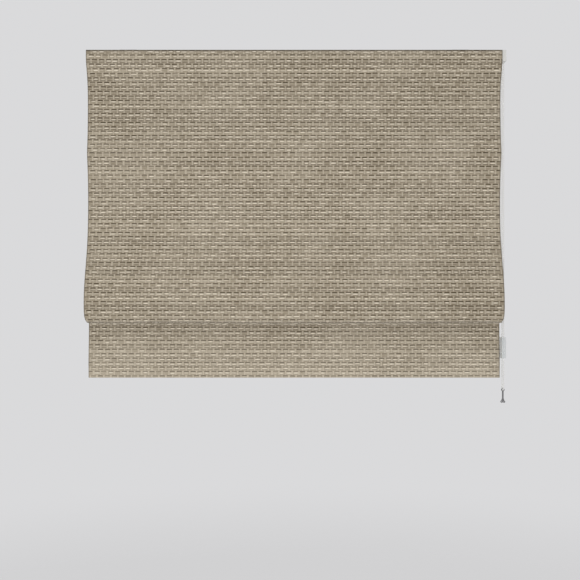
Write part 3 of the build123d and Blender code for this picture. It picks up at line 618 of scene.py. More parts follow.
def smooth_curve(points, start=None, end=None, step=1.0):
    """Dense points of a cubic spline through these side-view points, with its end directions if given."""
    points = np.array(points, float)
    spans = np.linalg.norm(np.diff(points, axis=0), axis=1)
    places = np.concatenate(([0.0], np.cumsum(spans)))

    def direction(i, j, k):
        """Direction at point i of the parabola through points i, j and k."""
        a, b = places[j] - places[i], places[k] - places[i]
        first, second = (points[j] - points[i]) / a, (points[k] - points[i]) / b
        return first - (second - first) * a / (b - a)

    def unit(way):
        return np.array(way) / np.linalg.norm(way)

    start = direction(0, 1, 2) if start is None else unit(start)
    end = direction(-1, -2, -3) if end is None else unit(end)
    count = len(points)
    matrix, target = np.zeros((count, count)), np.zeros((count, 2))
    matrix[0, 0] = matrix[-1, -1] = 1.0
    target[0], target[-1] = start, end
    for i in range(1, count - 1):
        before, after = spans[i - 1], spans[i]
        back, ahead = points[i] - points[i - 1], points[i + 1] - points[i]
        matrix[i, i - 1 : i + 2] = after, 2 * (before + after), before
        target[i] = 3 * (after * back / before + before * ahead / after)
    slopes = np.linalg.solve(matrix, target)
    dense = []
    for i, span in enumerate(spans):
        t = np.linspace(0, 1, max(2, round(span / step)), endpoint=False)[:, None]
        dense.append(
            (1 + 2 * t) * (1 - t) ** 2 * points[i] + t * (1 - t) ** 2 * span * slopes[i]
            + t * t * (3 - 2 * t) * points[i + 1] + t * t * (t - 1) * span * slopes[i + 1]
        )
    return np.concatenate(dense + [points[-1:]])


def arc_points(centre, radius, start, end, steps=24):
    """Points of a circular arc in the side view, in degrees from +Y towards +Z."""
    turns = np.radians(np.linspace(start, end, steps))
    return np.array(centre) + radius * np.stack((np.cos(turns), np.sin(turns)), axis=1)


def lengths_along(points):
    """Length of the line from its first point to each of its points."""
    steps = np.linalg.norm(np.diff(points, axis=0), axis=1)
    return np.concatenate(([0.0], np.cumsum(steps)))


def run_length(points):
    return float(np.linalg.norm(np.diff(points, axis=0), axis=1).sum())


def hanging_runs():
    """The cloth's runs from the heading to the top of the hem, each with the name of its end's mark."""
    seam_upper = (CLOTH_Y + UPPER_SEAM_SET, SEAM_UPPER_Z)
    seam_middle = (CLOTH_Y + MIDDLE_SEAM_SET, SEAM_MIDDLE_Z)
    knee_front = (CLOTH_Y - FOLD_SWING, SEAM_MIDDLE_Z - FOLD_DROP)
    knee_centre = (knee_front[0] + KNEE_RADIUS, knee_front[1])
    knee_back = (knee_front[0] + 2 * KNEE_RADIUS, knee_front[1])
    upper = smooth_curve([
        (CLOTH_Y, HEADING_Z),
        (CLOTH_Y, HEADING_Z - HEADING_STRAIGHT),
        (CLOTH_Y + 0.6 * UPPER_BELLY, HEADING_Z - 0.24 * FIRST_SEAM_DROP),
        (CLOTH_Y + UPPER_BELLY, HEADING_Z - 0.61 * FIRST_SEAM_DROP),
        seam_upper,
    ])
    middle = smooth_curve([
        seam_upper,
        (CLOTH_Y + MIDDLE_BELLY, SEAM_UPPER_Z - 0.56 * ROD_SPACING),
        (CLOTH_Y + 0.63 * MIDDLE_BELLY, SEAM_UPPER_Z - 0.79 * ROD_SPACING),
        seam_middle,
    ])
    bulge = (knee_front[0] + FOLD_EASE, SEAM_MIDDLE_Z - 0.52 * FOLD_DROP)
    front = smooth_curve([seam_middle, bulge, knee_front], start=(-0.3, -1), end=(0, -1))
    turn_z = knee_back[1] + ROD_SPACING - run_length(front) - pi * KNEE_RADIUS - TURN_RADIUS
    turn_centre = (CLOTH_Y + TURN_SET + TURN_RADIUS, turn_z)
    turn_back = (turn_centre[0] - TURN_RADIUS, turn_z)
    turn_front = (turn_centre[0] + TURN_RADIUS, turn_z)
    belly = (CLOTH_Y + LOWER_BELLY, turn_z - LOWER_PANEL_DROP / 2)
    hem_top = (CLOTH_Y + HEM_SET, turn_z - LOWER_PANEL_DROP + HEM_DEPTH)
    return {
        "upper_seam": upper,
        "middle_seam": middle,
        "front": front,
        "knee": arc_points(knee_centre, KNEE_RADIUS, 180, 270),
        "knee_end": arc_points(knee_centre, KNEE_RADIUS, 270, 360),
        "back": smooth_curve([knee_back, turn_back], start=(0, 1), end=(0, 1)),
        "lower_seam": arc_points(turn_centre, TURN_RADIUS, 180, 90, 12),
        "turn_end": arc_points(turn_centre, TURN_RADIUS, 90, 0, 12),
        "hem_top": smooth_curve([turn_front, belly, hem_top], start=(0, -1), end=(0, -1)),
    }


def pocket_run(hem_y, hem_z):
    """The bar pocket: down the hem, round the bar and up to the stitches at the top of the hem."""
    low = hem_z - HEM_DEPTH + POCKET_FLOOR
    turn_z = low + POCKET_FOLD
    lean = [(hem_y + behind, low + POCKET_HEIGHT + rise) for behind, rise in POCKET_LEAN]
    sewn = (hem_y + POCKET_SEWN[0], hem_z + POCKET_SEWN[1])
    return np.concatenate([
        [(hem_y, hem_z), (hem_y, turn_z)],
        arc_points((hem_y + POCKET_FOLD, turn_z), POCKET_FOLD, 180, 270, 8),
        arc_points((hem_y + POCKET_DEPTH - POCKET_FOLD, turn_z), POCKET_FOLD, 270, 360, 8),
        smooth_curve([*lean, sewn], start=(0, 1), end=(0, 1)),
    ])


class HangLine:
    """The face cloth's line from the heading to the end of the bar pocket, with its marks by name."""

    def __init__(self):
        runs = hanging_runs()
        runs["pocket_end"] = pocket_run(*runs["hem_top"][-1])
        joined = np.concatenate(list(runs.values())) * MM
        steps = np.linalg.norm(np.diff(joined, axis=0), axis=1)
        self.points = joined[np.concatenate(([True], steps > 1e-7))]
        self.travel = lengths_along(self.points)
        self.mark = {"heading": 0.0}
        done = 0.0
        for name, points in runs.items():
            done += run_length(points) * MM
            self.mark[name] = done
        self.mark["rail_foot"] = (HEADING_Z - RAIL_FOOT_Z) * MM
        self.mark["hem_bottom"] = self.mark["hem_top"] + HEM_DEPTH * MM
        self.knee_z = (SEAM_MIDDLE_Z - FOLD_DROP - KNEE_RADIUS) * MM
        self.seam_lower_z = float(runs["lower_seam"][-1][1]) * MM

    def place(self, travel):
        """Y and Z at these lengths from the heading."""
        return np.array([np.interp(travel, self.travel, self.points[:, i]) for i in (0, 1)])

    def at(self, travel, reach=0.0005):
        """Y, Z and the face side's direction at these lengths from the heading."""
        travel = np.asarray(travel, float)
        y, z = self.place(travel)
        dy, dz = self.place(travel + reach) - self.place(travel - reach)
        size = np.hypot(dy, dz)
        return y, z, dz / size, -dy / size


LINE = HangLine()
SEWN = [LINE.mark[name] for name in ("heading", "upper_seam", "middle_seam", "lower_seam", "hem_top")]

# The cloth gets painted shade into the fold and painted light towards the hem, and so do the floats
FOLD_SHADE_RUN = (LINE.mark["knee"] - 0.14, LINE.mark["knee"] - 0.05)
HEM_LIGHT_RUN = (LINE.mark["hem_top"] - 0.18, LINE.mark["hem_bottom"])
FLOAT_SHADE_AND_LIGHT_RUN = (0, -0.09, -0.09, 0.12)

# The hanging cloth's slow waves: share, radians per metre across and along, phase
WAVES = ((1.0, 7.3, 9.0, 0.6), (0.7, -15.7, 21.0, 1.9), (0.5, 27.0, 6.0, 4.1))
WAVE_PEAK = 1.6
CALM_REACH = 0.08

# The fold's lower corners: how far they rise and draw in, over which distance from the side, in metres
CORNER_LIFT = 0.0015
CORNER_LIFT_REACH = 0.018
CORNER_DRAW = 0.0055
CORNER_DRAW_REACH = 0.09
KNEE_SPREAD = 0.028


def near_sewn(travel, reach):
    """0 where the cloth is sewn or held, easing to 1 at this distance from it."""
    gap = np.min([np.abs(travel - mark) for mark in SEWN], axis=0)
    share = np.clip(gap / reach, 0, 1)
    return share * share * (3 - 2 * share)


def waver(x, travel, amount):
    """How far the hanging cloth stands off its line, zero where it is sewn."""
    slow = sum(share * np.sin(across * x + along * travel + phase) for share, across, along, phase in WAVES)
    calm = np.where(travel > LINE.mark["hem_top"], 0.0, near_sewn(travel, CALM_REACH))
    return amount * slow * calm / WAVE_PEAK


def at_corner(x, travel, half_width, reach, power):
    """1 at the fold's lower corners, falling to 0 at this distance from the side and away from the knee."""
    edge = np.clip(1 - (half_width - np.abs(x)) / reach, 0, 1) ** power
    return edge * np.exp(-(((travel - LINE.mark["knee"]) / KNEE_SPREAD) ** 2))


def corner_lift(x, travel, half_width):
    """The fold's lower corners are rounded: its knee rises towards the side edges."""
    return CORNER_LIFT * at_corner(x, travel, half_width, CORNER_LIFT_REACH, 2)


def drawn_in(x, travel, half_width):
    """Place across after the side hems draw the edges in towards the bottom of the fold."""
    return x - np.sign(x) * CORNER_DRAW * at_corner(x, travel, half_width, CORNER_DRAW_REACH, 1.5)


def rib(travel, pitch, height):
    """Relief of the woven rows, drawn in at a seam."""
    raised = height * np.sin(pi * np.mod(travel / pitch, 1.0))
    free = np.clip(np.min([np.abs(travel - mark) for mark in SEWN[1:4]], axis=0) / pitch, 0, 1)
    return raised * free - SEAM_PINCH * (1 - free)


# Making pieces


def finish_of(name):
    return bpy.data.materials[name]


def add_object(name, mesh, *materials):
    piece = bpy.data.objects.new(name, mesh)
    bpy.context.scene.collection.objects.link(piece)
    for material in materials:
        mesh.materials.append(material)
    return piece


def soften(mesh):
    """Shades the mesh smooth and turns its faces outwards."""
    mesh.polygons.foreach_set("use_smooth", [True] * len(mesh.polygons))
    turned = bmesh.new()
    turned.from_mesh(mesh)
    bmesh.ops.recalc_face_normals(turned, faces=turned.faces)
    turned.to_mesh(mesh)
    turned.free()


def ring_faces(rings, around):
    """Faces between closed rings, each with this many vertices."""
    return [
        (
            i * around + j, i * around + (j + 1) % around,
            (i + 1) * around + (j + 1) % around, (i + 1) * around + j,
        )
        for i in range(rings - 1)
        for j in range(around)
    ]


def grid_sheet(name, front, back, uv_rows, uv_columns, finish):
    """A closed sheet from its front and back grids of points, with a rounded rim and its own cloth map."""
    rows, columns = front.shape[:2]
    sides, inner = [0, -1], [1, -2]
    outward = np.sign(front[:, sides, 0] - front[:, inner, 0])
    rim = (front[:, sides] + back[:, sides]) / 2
    rim[:, :, 0] += outward * RIM_BULGE * np.linalg.norm(front[:, sides] - back[:, sides], axis=2)
    ring = np.concatenate([front, rim[:, 1:], back[:, ::-1], rim[:, :1]], axis=1)
    across = np.concatenate([uv_columns, uv_columns[-1:], uv_columns[::-1], uv_columns[:1]])
    around = ring.shape[1]
    faces = ring_faces(rows, around)
    for base in (0, (rows - 1) * around):
        far = base + 2 * columns
        faces += [(base + j, base + j + 1, far - j - 1, far - j) for j in range(columns - 1)]
        faces.append((base + columns - 1, base + columns, base + columns + 1))
        faces.append((base, base + around - 1, base + around - 2))
    mesh = bpy.data.meshes.new(name)
    mesh.from_pydata(ring.reshape(-1, 3).tolist(), [], faces)
    chart = mesh.uv_layers.new(name="Cloth")
    spots = np.stack([np.tile(across, rows), np.repeat(uv_rows, around)], axis=1)
    loops = np.zeros(len(mesh.loops), int)
    mesh.loops.foreach_get("vertex_index", loops)
    chart.data.foreach_set("uv", spots[loops].ravel())
    soften(mesh)
    return add_object(name, mesh, finish_of(finish))


def cloth_rows(first, last, pitch, per_row):
    """Lengths from the heading at which a panel has a line of vertices."""
    step = pitch / per_row
    inner = step * np.arange(np.ceil(first / step + 1e-6), np.floor(last / step - 1e-6) + 1)
    return np.concatenate(([first], inner, [last]))


def cloth_grids(rows, across, distances, rise=0.0):
    """Grids of points on the cloth's rows, one for each distance in front of its line."""
    y, z, out_y, out_z = (part[:, None] for part in LINE.at(rows))
    return [np.stack((across, y + way * out_y, z + way * out_z + rise), axis=2) for way in distances]


def tube_piece(name, points, radius, sides, finish):
    """A closed tube along these points."""
    points = [Vector(point) for point in points]
    vertices = []
    side = None
    for i, point in enumerate(points):
        along = (points[min(i + 1, len(points) - 1)] - points[max(i - 1, 0)]).normalized()
        if side is None:
            side = along.orthogonal()
        side = (side - along * side.dot(along)).normalized()
        up = along.cross(side)
        for j in range(sides):
            turn = 2 * pi * j / sides
            vertices.append(tuple(point + radius * (cos(turn) * side + sin(turn) * up)))
    faces = ring_faces(len(points), sides)
    faces.append(tuple(reversed(range(sides))))
    faces.append(tuple(range(len(vertices) - sides, len(vertices))))
    mesh = bpy.data.meshes.new(name)
    mesh.from_pydata(vertices, [], faces)
    soften(mesh)
    return add_object(name, mesh, finish_of(finish))


def grown(name, base, tree_name, inputs):
    """The plain mesh object that a Geometry Nodes tree makes from this mesh and these inputs."""
    tree = bpy.data.node_groups[tree_name]
    holder = add_object(name + "_points", base)
    modifier = holder.modifiers.new("Grow", "NODES")
    modifier.node_group = tree
    sockets = {item.name: item.identifier for item in tree.interface.items_tree if item.in_out == "INPUT"}
    for label, value in inputs.items():
        modifier[sockets[label]] = value
    bpy.context.view_layer.update()
    shape = holder.evaluated_get(bpy.context.evaluated_depsgraph_get())
    mesh = bpy.data.meshes.new_from_object(shape)
    mesh.name = name
    holder.modifiers.clear()
    bpy.data.objects.remove(holder)
    if len(mesh.polygons) == 0:
        raise RuntimeError(f"{name}: its Geometry Nodes made nothing")
    return add_object(name, mesh)


def points_mesh(name, places, outs, alongs, spans, tints_and_painted_light):
    """Points with the attributes that the thread tree reads."""
    mesh = bpy.data.meshes.new(name)
    mesh.from_pydata([tuple(place) for place in places], [], [])
    for label, values in (("out", outs), ("along", alongs)):
        made = mesh.attributes.new(label, "FLOAT_VECTOR", "POINT")
        made.data.foreach_set("vector", np.asarray(values, float).ravel())
    for label, values in (("span", spans), ("tint_and_painted_light", tints_and_painted_light)):
        made = mesh.attributes.new(label, "FLOAT", "POINT")
        made.data.foreach_set("value", np.asarray(values, float))
    return mesh


def finish_tree(tree, given, result, placed):
    """Makes the instances real, smooth and of the given material, and sends them out."""
    real = node(tree, "GeometryNodeRealizeInstances", {"Geometry": placed.outputs[0]})
    soft = node(tree, "GeometryNodeSetShadeSmooth", {"Geometry": real.outputs[0], "Shade Smooth": True})
    keys = {"Geometry": soft.outputs[0], "Material": given.outputs["Material"]}
    finished = node(tree, "GeometryNodeSetMaterial", keys)
    tree.links.new(finished.outputs[0], result.inputs[0])


def build_thread_tree():
    """Short rounded lengths of yarn on points, for weft floats and stitches."""
    tree, given, result = group(
        "Thread Lengths",
        [
            ("Geometry", GEOMETRY, None), ("Length", FLOAT, 0.0145), ("Height", FLOAT, 0.0046),
            ("Rise", FLOAT, 0.001), ("Taper", FLOAT, 0.4), ("Material", MATERIAL, None),
        ],
        [("Geometry", GEOMETRY)],
        "GeometryNodeTree",
    )
    keys = {"Vertices": 6, "Side Segments": 3, "Radius": 0.5, "Depth": 1.0}
    bar = node(tree, "GeometryNodeMeshCylinder", keys, fill_type="NGON")
    x, y, z = split(tree, node(tree, "GeometryNodeInputPosition").outputs[0])
    end = calc(tree, "POWER", calc(tree, "ABSOLUTE", times(tree, z, 2.0)), 3.0)
    narrow = calc(tree, "SUBTRACT", 1.0, times(tree, end, given.outputs["Taper"]))
    lying = join(tree, z, times(tree, x, narrow), times(tree, y, narrow))
    keys = {"Geometry": bar.outputs["Mesh"], "Position": lying}
    shaped = node(tree, "GeometryNodeSetPosition", keys)

    def read(label, kind="FLOAT"):
        made = node(tree, "GeometryNodeInputNamedAttribute", {"Name": label}, data_type=kind)
        return next(socket for socket in made.outputs if socket.enabled and socket.name == "Attribute")

    axes = {0: read("out", "FLOAT_VECTOR"), 1: read("along", "FLOAT_VECTOR")}
    turn = node(tree, "FunctionNodeAxesToRotation", axes, primary_axis="Z", secondary_axis="X")
    long = times(tree, given.outputs["Length"], read("span"))
    size = join(tree, long, given.outputs["Height"], times(tree, given.outputs["Rise"], 2.0))
    placed = node(tree, "GeometryNodeInstanceOnPoints", {
        "Points": given.outputs["Geometry"], "Instance": shaped.outputs[0],
        "Rotation": turn.outputs[0], "Scale": size,
    })
    finish_tree(tree, given, result, placed)


def build_bead_tree():
    """Round beads at an even pitch along a line."""
    tree, given, result = group(
        "Beads Along Line",
        [
            ("Geometry", GEOMETRY, None), ("Pitch", FLOAT, 0.006), ("Diameter", FLOAT, 0.0045),
            ("Material", MATERIAL, None),
        ],
        [("Geometry", GEOMETRY)],
        "GeometryNodeTree",
    )
    line = node(tree, "GeometryNodeMeshToCurve", {"Mesh": given.outputs["Geometry"]})
    keys = {"Curve": line.outputs[0], "Length": given.outputs["Pitch"]}
    spaced = node(tree, "GeometryNodeResampleCurve", keys, mode="LENGTH")
    keys = {"Segments": 10, "Rings": 5, "Radius": times(tree, given.outputs["Diameter"], 0.5)}
    bead = node(tree, "GeometryNodeMeshUVSphere", keys)
    keys = {"Points": spaced.outputs[0], "Instance": bead.outputs["Mesh"]}
    finish_tree(tree, given, result, node(tree, "GeometryNodeInstanceOnPoints", keys))


def ensure_shared():
    """Builds the shared shader groups, trees and materials once."""
    if "Fibre Streaks" in bpy.data.node_groups:
        return
    build_fibre_group()
    build_rows_group()
    build_plain_weave_group()
    build_grain_group()
    build_thread_tree()
    build_bead_tree()
    cloth = bpy.context.scene.blind_cloth
    woven_cloth_material(cloth)
    float_yarn_material(cloth)
    plain_cloth_material("Lining Cloth", cloth.lining_colour, 0.0007)
    plain_cloth_material("Pocket Tape", (0.72, 0.70, 0.65), 0.0009)
    plain_cloth_material("Loop Strip", (0.66, 0.65, 0.61), 0.0012, 0.4)
    cord_material("Lift Cord", (0.78, 0.77, 0.73), 0.0016)
    cord_material("Chain Cord", (0.72, 0.72, 0.70), 0.0012)
    cord_material("Sewing Thread", (0.30, 0.25, 0.175), 0.0005)
    bead_colour = bpy.context.scene.blind_chain.colour
    solid_material("Chain Bead", bead_colour, 0.28, 600.0, depth=0.00002, Coat_Weight=0.2)
    solid_material("White Plastic", (0.76, 0.76, 0.74), 0.36)
    solid_material("Grey Plastic", (0.13, 0.13, 0.135), 0.42)
    solid_material("Rail Paint", (0.78, 0.78, 0.76), 0.34, 1600.0, 6.0, 0.00003)
    solid_material("Hook Strip Plastic", (0.68, 0.67, 0.63), 0.6, 1500.0, depth=0.0004)
    solid_material("Bracket Steel", (0.62, 0.62, 0.63), 0.32, 1200.0, 3.0, Metallic=1.0)
    solid_material("Spring Steel", (0.52, 0.53, 0.55), 0.28, 1800.0, 1.0, Metallic=1.0)
    solid_material("Shaft Steel", (0.60, 0.60, 0.60), 0.3, 900.0, 14.0, Metallic=1.0)
    solid_material("Bar Aluminium", (0.72, 0.72, 0.73), 0.36, 900.0, 20.0, Metallic=1.0)
    solid_material("Rod Fibreglass", (0.70, 0.69, 0.62), 0.38, 700.0, 25.0)
    solid_material("Bar Caps", (0.70, 0.70, 0.68), 0.4)
    solid_material(
        "Clear Plastic", (0.74, 0.77, 0.78), 0.12, 300.0, depth=0.00001, marks=0.08,
        Alpha=0.5, Coat_Weight=0.6, Coat_Roughness=0.08,
    )


# Panels: name, marks at its ends, bodies above and below (none above: it rides the one below)


PANELS = (
    ("heading", "heading", "rail_foot", None, "rail"),
    ("panel_upper", "rail_foot", "upper_seam", "rail", "upper_rod"),
    ("panel_middle", "upper_seam", "middle_seam", "upper_rod", "middle_rod"),
    ("fold_front", "middle_seam", "knee", "middle_rod", "lower_panel"),
    ("fold_back", "knee", "lower_seam", "middle_rod", "lower_panel"),
    ("panel_lower", "lower_seam", "pocket_end", None, "lower_panel"),
)


def gather(piece, body):
    """Makes a piece hang from a body, with a mesh of its own."""
    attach(piece, body)
    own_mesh(piece)


def bind_panel(piece, label):
    """Hangs a piece of cloth from the body above its panel, or from the one below where there is none
    above; the fold's pieces only have their placing baked into their meshes.
    """
    _, _, _, above, below = next(panel for panel in PANELS if panel[0] == label)
    if above is None:
        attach(piece, below)
    elif label == "panel_upper":
        gather(piece, above)
    elif label == "panel_middle":
        gather(piece, above)
    elif label == "fold_front":
        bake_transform(piece)
    else:
        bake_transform(piece)


def lining_span(start, end, stop):
    """Where the lining or its stitching runs in a panel, ending this far above the top of the hem."""
    return max(LINE.mark[start], LINING_TOP), min(LINE.mark[end], LINE.mark["hem_top"] - stop)


def tape_path(travel, rod):
    """A pocket tape's side view: flange, down to its rod, round it and back up to the flange."""
    y, z, out_y, out_z = LINE.at(travel)
    root = np.array((y - TAPE_ROOT * out_y, z - TAPE_ROOT * out_z))
    flange = root + TAPE_FLANGE * np.array((out_z, -out_y))
    reach = np.linalg.norm(rod - root)
    web = (rod - root) / reach
    side = TAPE_PLY / 2 * np.array((-web[1], web[0]))
    touch = np.sqrt(TAPE_LOOP**2 - (TAPE_PLY / 2) ** 2)
    down = root + web * np.linspace(0.0, reach - touch - TAPE_MOUTH, 5)[:, None]
    lean = np.arcsin(TAPE_PLY / 2 / TAPE_LOOP)
    turns = np.arctan2(-web[1], -web[0]) - np.linspace(lean, 2 * pi - lean, 20)
    around = rod + TAPE_LOOP * np.stack((np.cos(turns), np.sin(turns)), axis=1)
    return np.concatenate([[flange + side], down + side, around, down[::-1] - side, [flange - side]])


# Operators


class BLIND_OT_stage(bpy.types.Operator):
    """Adds the camera, the soft studio light, the pale floor and the background"""

    bl_idname = "blind.stage"
    bl_label = "Stage"

    def execute(self, context):
        settings = context.scene.blind_stage
        camera = bpy.data.cameras.new("Camera")
        camera.lens = settings.lens / MM
        viewer = bpy.data.objects.new("Camera", camera)
        viewer.location = CAMERA_PLACE
        viewer.rotation_euler = (radians(90), 0, 0)
        context.scene.collection.objects.link(viewer)
        context.scene.camera = viewer
        context.scene.view_settings.view_transform = "Standard"

        world = bpy.data.worlds.new("Studio")
        context.scene.world = world
        world.use_nodes = True
        tree = world.node_tree
        tree.nodes.clear()
        rays = node(tree, "ShaderNodeLightPath").outputs
        seen = calc(tree, "MAXIMUM", rays["Is Camera Ray"], rays["Is Glossy Ray"])
        seen = calc(tree, "MAXIMUM", seen, rays["Is Transmission Ray"])
        glow = {"Color": (1.0, 0.985, 0.965, 1.0), "Strength": settings.world_light}
        light = node(tree, "ShaderNodeBackground", glow)
        plain = {"Color": rgba(settings.background), "Strength": 1.0}
        behind = node(tree, "ShaderNodeBackground", plain)
        chosen = node(tree, "ShaderNodeMixShader", {0: seen, 1: light.outputs[0], 2: behind.outputs[0]})
        node(tree, "ShaderNodeOutputWorld", {"Surface": chosen.outputs[0]})

        for name, place, size, share in LAMPS:
            lamp = bpy.data.lights.new(name, "AREA")
            lamp.shape = "DISK"
            lamp.size = size
            lamp.energy = share * settings.key_power
            holder = bpy.data.objects.new(name, lamp)
            holder.location = place
            holder.rotation_euler = (Vector(LAMP_AIM) - Vector(place)).to_track_quat("-Z", "Y").to_euler()
            context.scene.collection.objects.link(holder)

        material, tree, shader = new_material("Floor")
        place = object_place(tree)
        distance = node(tree, "ShaderNodeVectorMath", {0: place}, operation="LENGTH").outputs["Value"]
        grain = noise(tree, place, 90.0)
        speck = ease(tree, grain, 0.3, 0.7, 0.0, 0.06)
        pale = blend_colour(tree, speck, (0.74, 0.74, 0.75, 1), (0.6, 0.6, 0.61, 1))
        feed(tree, shader, Base_Color=pale, Roughness=ease(tree, grain, 0, 1, 0.85, 0.95))
        seen = node(tree, "ShaderNodeLightPath").outputs["Is Camera Ray"]
        glow = node(tree, "ShaderNodeEmission", plain)
        evenly = {0: times(tree, seen, 0.7), 1: shader.outputs[0], 2: glow.outputs[0]}
        even = node(tree, "ShaderNodeMixShader", evenly)
        gone = node(tree, "ShaderNodeBsdfTransparent")
        fading = {0: ease(tree, distance, *FLOOR_FADE), 1: even.outputs[0], 2: gone.outputs[0]}
        faded = node(tree, "ShaderNodeMixShader", fading)
        tree.links.new(faded.outputs[0], tree.nodes["Material Output"].inputs["Surface"])
        turns = [2 * pi * i / FLOOR_STEPS for i in range(FLOOR_STEPS)]
        rim = [(FLOOR_RADIUS * cos(turn), FLOOR_RADIUS * sin(turn), 0) for turn in turns]
        mesh = bpy.data.meshes.new("Floor")
        mesh.from_pydata(rim, [], [tuple(range(FLOOR_STEPS))])
        floor = add_object("Floor", mesh, material)
        floor.location = (0, 0, FLOOR_Z)
        return {"FINISHED"}


class BLIND_OT_chain(bpy.types.Operator):
    """Adds the endless bead chain, hanging from the chain control"""

    bl_idname = "blind.chain"
    bl_label = "Bead Chain"

    def execute(self, context):
        settings = context.scene.blind_chain
        ensure_shared()
        side = [
            (CHAIN_RADIUS, CHAIN_EXIT_Z),
            (CHAIN_RADIUS, CHAIN_LOW_Z + 2 * CHAIN_RADIUS),
            (CHAIN_RADIUS, CHAIN_LOW_Z),
        ]
        route = side + [(-y, z) for y, z in reversed(side)]
        curve = bpy.data.curves.new("chain_cord", "CURVE")
        curve.dimensions = "3D"
        spline = curve.splines.new("NURBS")
        spline.points.add(len(route) - 1)
        for point, (y, z) in zip(spline.points, route):
            point.co = (CHAIN_X * MM, y * MM, z * MM, 1.0)
        spline.order_u = 3
        spline.use_endpoint_u = True
        spline.resolution_u = 24
        cord = bpy.data.objects.new("chain_cord", curve)
        context.scene.collection.objects.link(cord)
        context.view_layer.update()
        line = bpy.data.meshes.new_from_object(cord.evaluated_get(context.evaluated_depsgraph_get()))
        ends = ([line.vertices[index].co for index in edge.vertices] for edge in line.edges)
        length = sum((first - second).length for first, second in ends)
        curve.bevel_depth = settings.cord_diameter / 2
        curve.bevel_resolution = 2
        curve.materials.append(finish_of("Chain Cord"))
        beads = grown("chain_beads", line, "Beads Along Line", {
            "Pitch": settings.bead_pitch, "Diameter": settings.bead_diameter,
            "Material": finish_of("Chain Bead"),
        })
        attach(beads, "rail")
        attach(cord, "rail")
        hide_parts("operating_chain")
        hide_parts("operating_chain")
        return {"FINISHED"}


class BLIND_OT_face_cloth(bpy.types.Operator):
    """Adds the woven face cloth, one sheet for each panel between its seams"""

    bl_idname = "blind.face_cloth"
    bl_label = "Face Cloth"

    def execute(self, context):
        settings = context.scene.blind_cloth
        ensure_shared()
        half = settings.width / 2
        hem = half - settings.side_hem
        outer = [RIM_MARGIN - half + inset for inset in SIDE_COLUMNS] + [-hem - HEM_STEP, -hem + HEM_STEP]
        inner = np.linspace(INNER_MARGIN - hem, hem - INNER_MARGIN, FACE_COLUMNS)
        columns = np.concatenate((outer, inner, [-x for x in reversed(outer)]))
        for label, start, end, _, _ in PANELS:
            rows = cloth_rows(LINE.mark[start], LINE.mark[end], settings.row_pitch, 6)
            if label == "panel_lower":
                turn_start = LINE.mark["hem_bottom"] - BAR_TURN_START
                tight = turn_start + np.arange(0, BAR_TURN_ROWS) * BAR_TURN_STEP
                rows = np.sort(np.concatenate((rows, tight[tight < LINE.mark["pocket_end"]])))
            x, travel = np.meshgrid(columns, rows)
            off = waver(x, travel, settings.billow)
            plain = travel > LINE.mark["hem_bottom"]
            relief = np.where(plain, 0.0, rib(travel, settings.row_pitch, settings.rib_height))
            doubled = (np.abs(x) > hem) & (travel < LINE.mark["hem_top"])
            depth = np.where(doubled, 1.5 * settings.thickness, settings.thickness / 2)
            distances = (off + settings.thickness / 2 + relief, off - depth)
            wide = drawn_in(x, travel, half)
            front, back = cloth_grids(rows, wide, distances, corner_lift(x, travel, half))
            piece = grid_sheet("face_" + label, front, back, rows, columns, "Woven Cloth")
            bind_panel(piece, label)
            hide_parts("face_fabric")
        return {"FINISHED"}


class BLIND_OT_weft_floats(bpy.types.Operator):
    """Adds the raised weft floats in offset rows over the face cloth"""

    bl_idname = "blind.weft_floats"
    bl_label = "Weft Floats"

    def execute(self, context):
        settings = context.scene.blind_cloth
        ensure_shared()
        lots = np.random.default_rng(7)
        half = settings.width / 2
        floats = []
        for row in range(int(LINE.mark["hem_bottom"] / settings.row_pitch)):
            travel = (row + 0.5) * settings.row_pitch
            if min(abs(travel - mark) for mark in SEWN[1:4]) < SEAM_CLEAR_ROWS * settings.row_pitch:
                continue
            row_tone = lots.uniform(-ROW_TONE_SPREAD, ROW_TONE_SPREAD)
            # Painted shade into the fold and painted light towards the hem, added to the row's random tone
            row_tone += np.interp(travel, FOLD_SHADE_RUN + HEM_LIGHT_RUN, FLOAT_SHADE_AND_LIGHT_RUN)
            x = -half + (0.25 + 0.5 * (row % 2)) * settings.brick_pitch
            while x < half - FLOAT_MARGIN:
                nudge = lots.normal(0, FLOAT_SIDEWAYS)
                if lots.random() > MISSING_FLOATS and x > -half + FLOAT_MARGIN:
                    floats.append((
                        x + nudge,
                        travel + lots.normal(0, FLOAT_UPWARDS),
                        np.clip(lots.normal(*FLOAT_SPAN), *FLOAT_SPAN_LIMITS),
                        np.clip(FLOAT_TONE + row_tone + lots.normal(0, FLOAT_TONE_SPREAD), 0, 1),
                    ))
                else:
                    lots.normal(size=3)
                x += settings.brick_pitch
        x, travel, spans, tints_and_painted_light = np.array(floats).T
        y, z, out_y, out_z = LINE.at(travel)
        off = waver(x, travel, settings.billow) + settings.thickness / 2 + 0.5 * settings.rib_height
        wide = drawn_in(x, travel, half)
        spots = np.stack((wide, y + off * out_y, z + off * out_z + corner_lift(x, travel, half)), axis=1)
        outs = np.stack((np.zeros_like(x), out_y, out_z), axis=1)
        alongs = np.tile((1.0, 0.0, 0.0), (len(x), 1))
        sizes = {**FLOAT_YARN, "Material": finish_of("Float Yarn")}
        for label, start, end, _, _ in PANELS:
            here = (travel >= LINE.mark[start]) & (travel < LINE.mark[end])
            parts = (values[here] for values in (spots, outs, alongs, spans, tints_and_painted_light))
            base = points_mesh("floats_" + label, *parts)
            piece = grown("weft_floats_" + label, base, "Thread Lengths", sizes)
            bind_panel(piece, label)
        return {"FINISHED"}


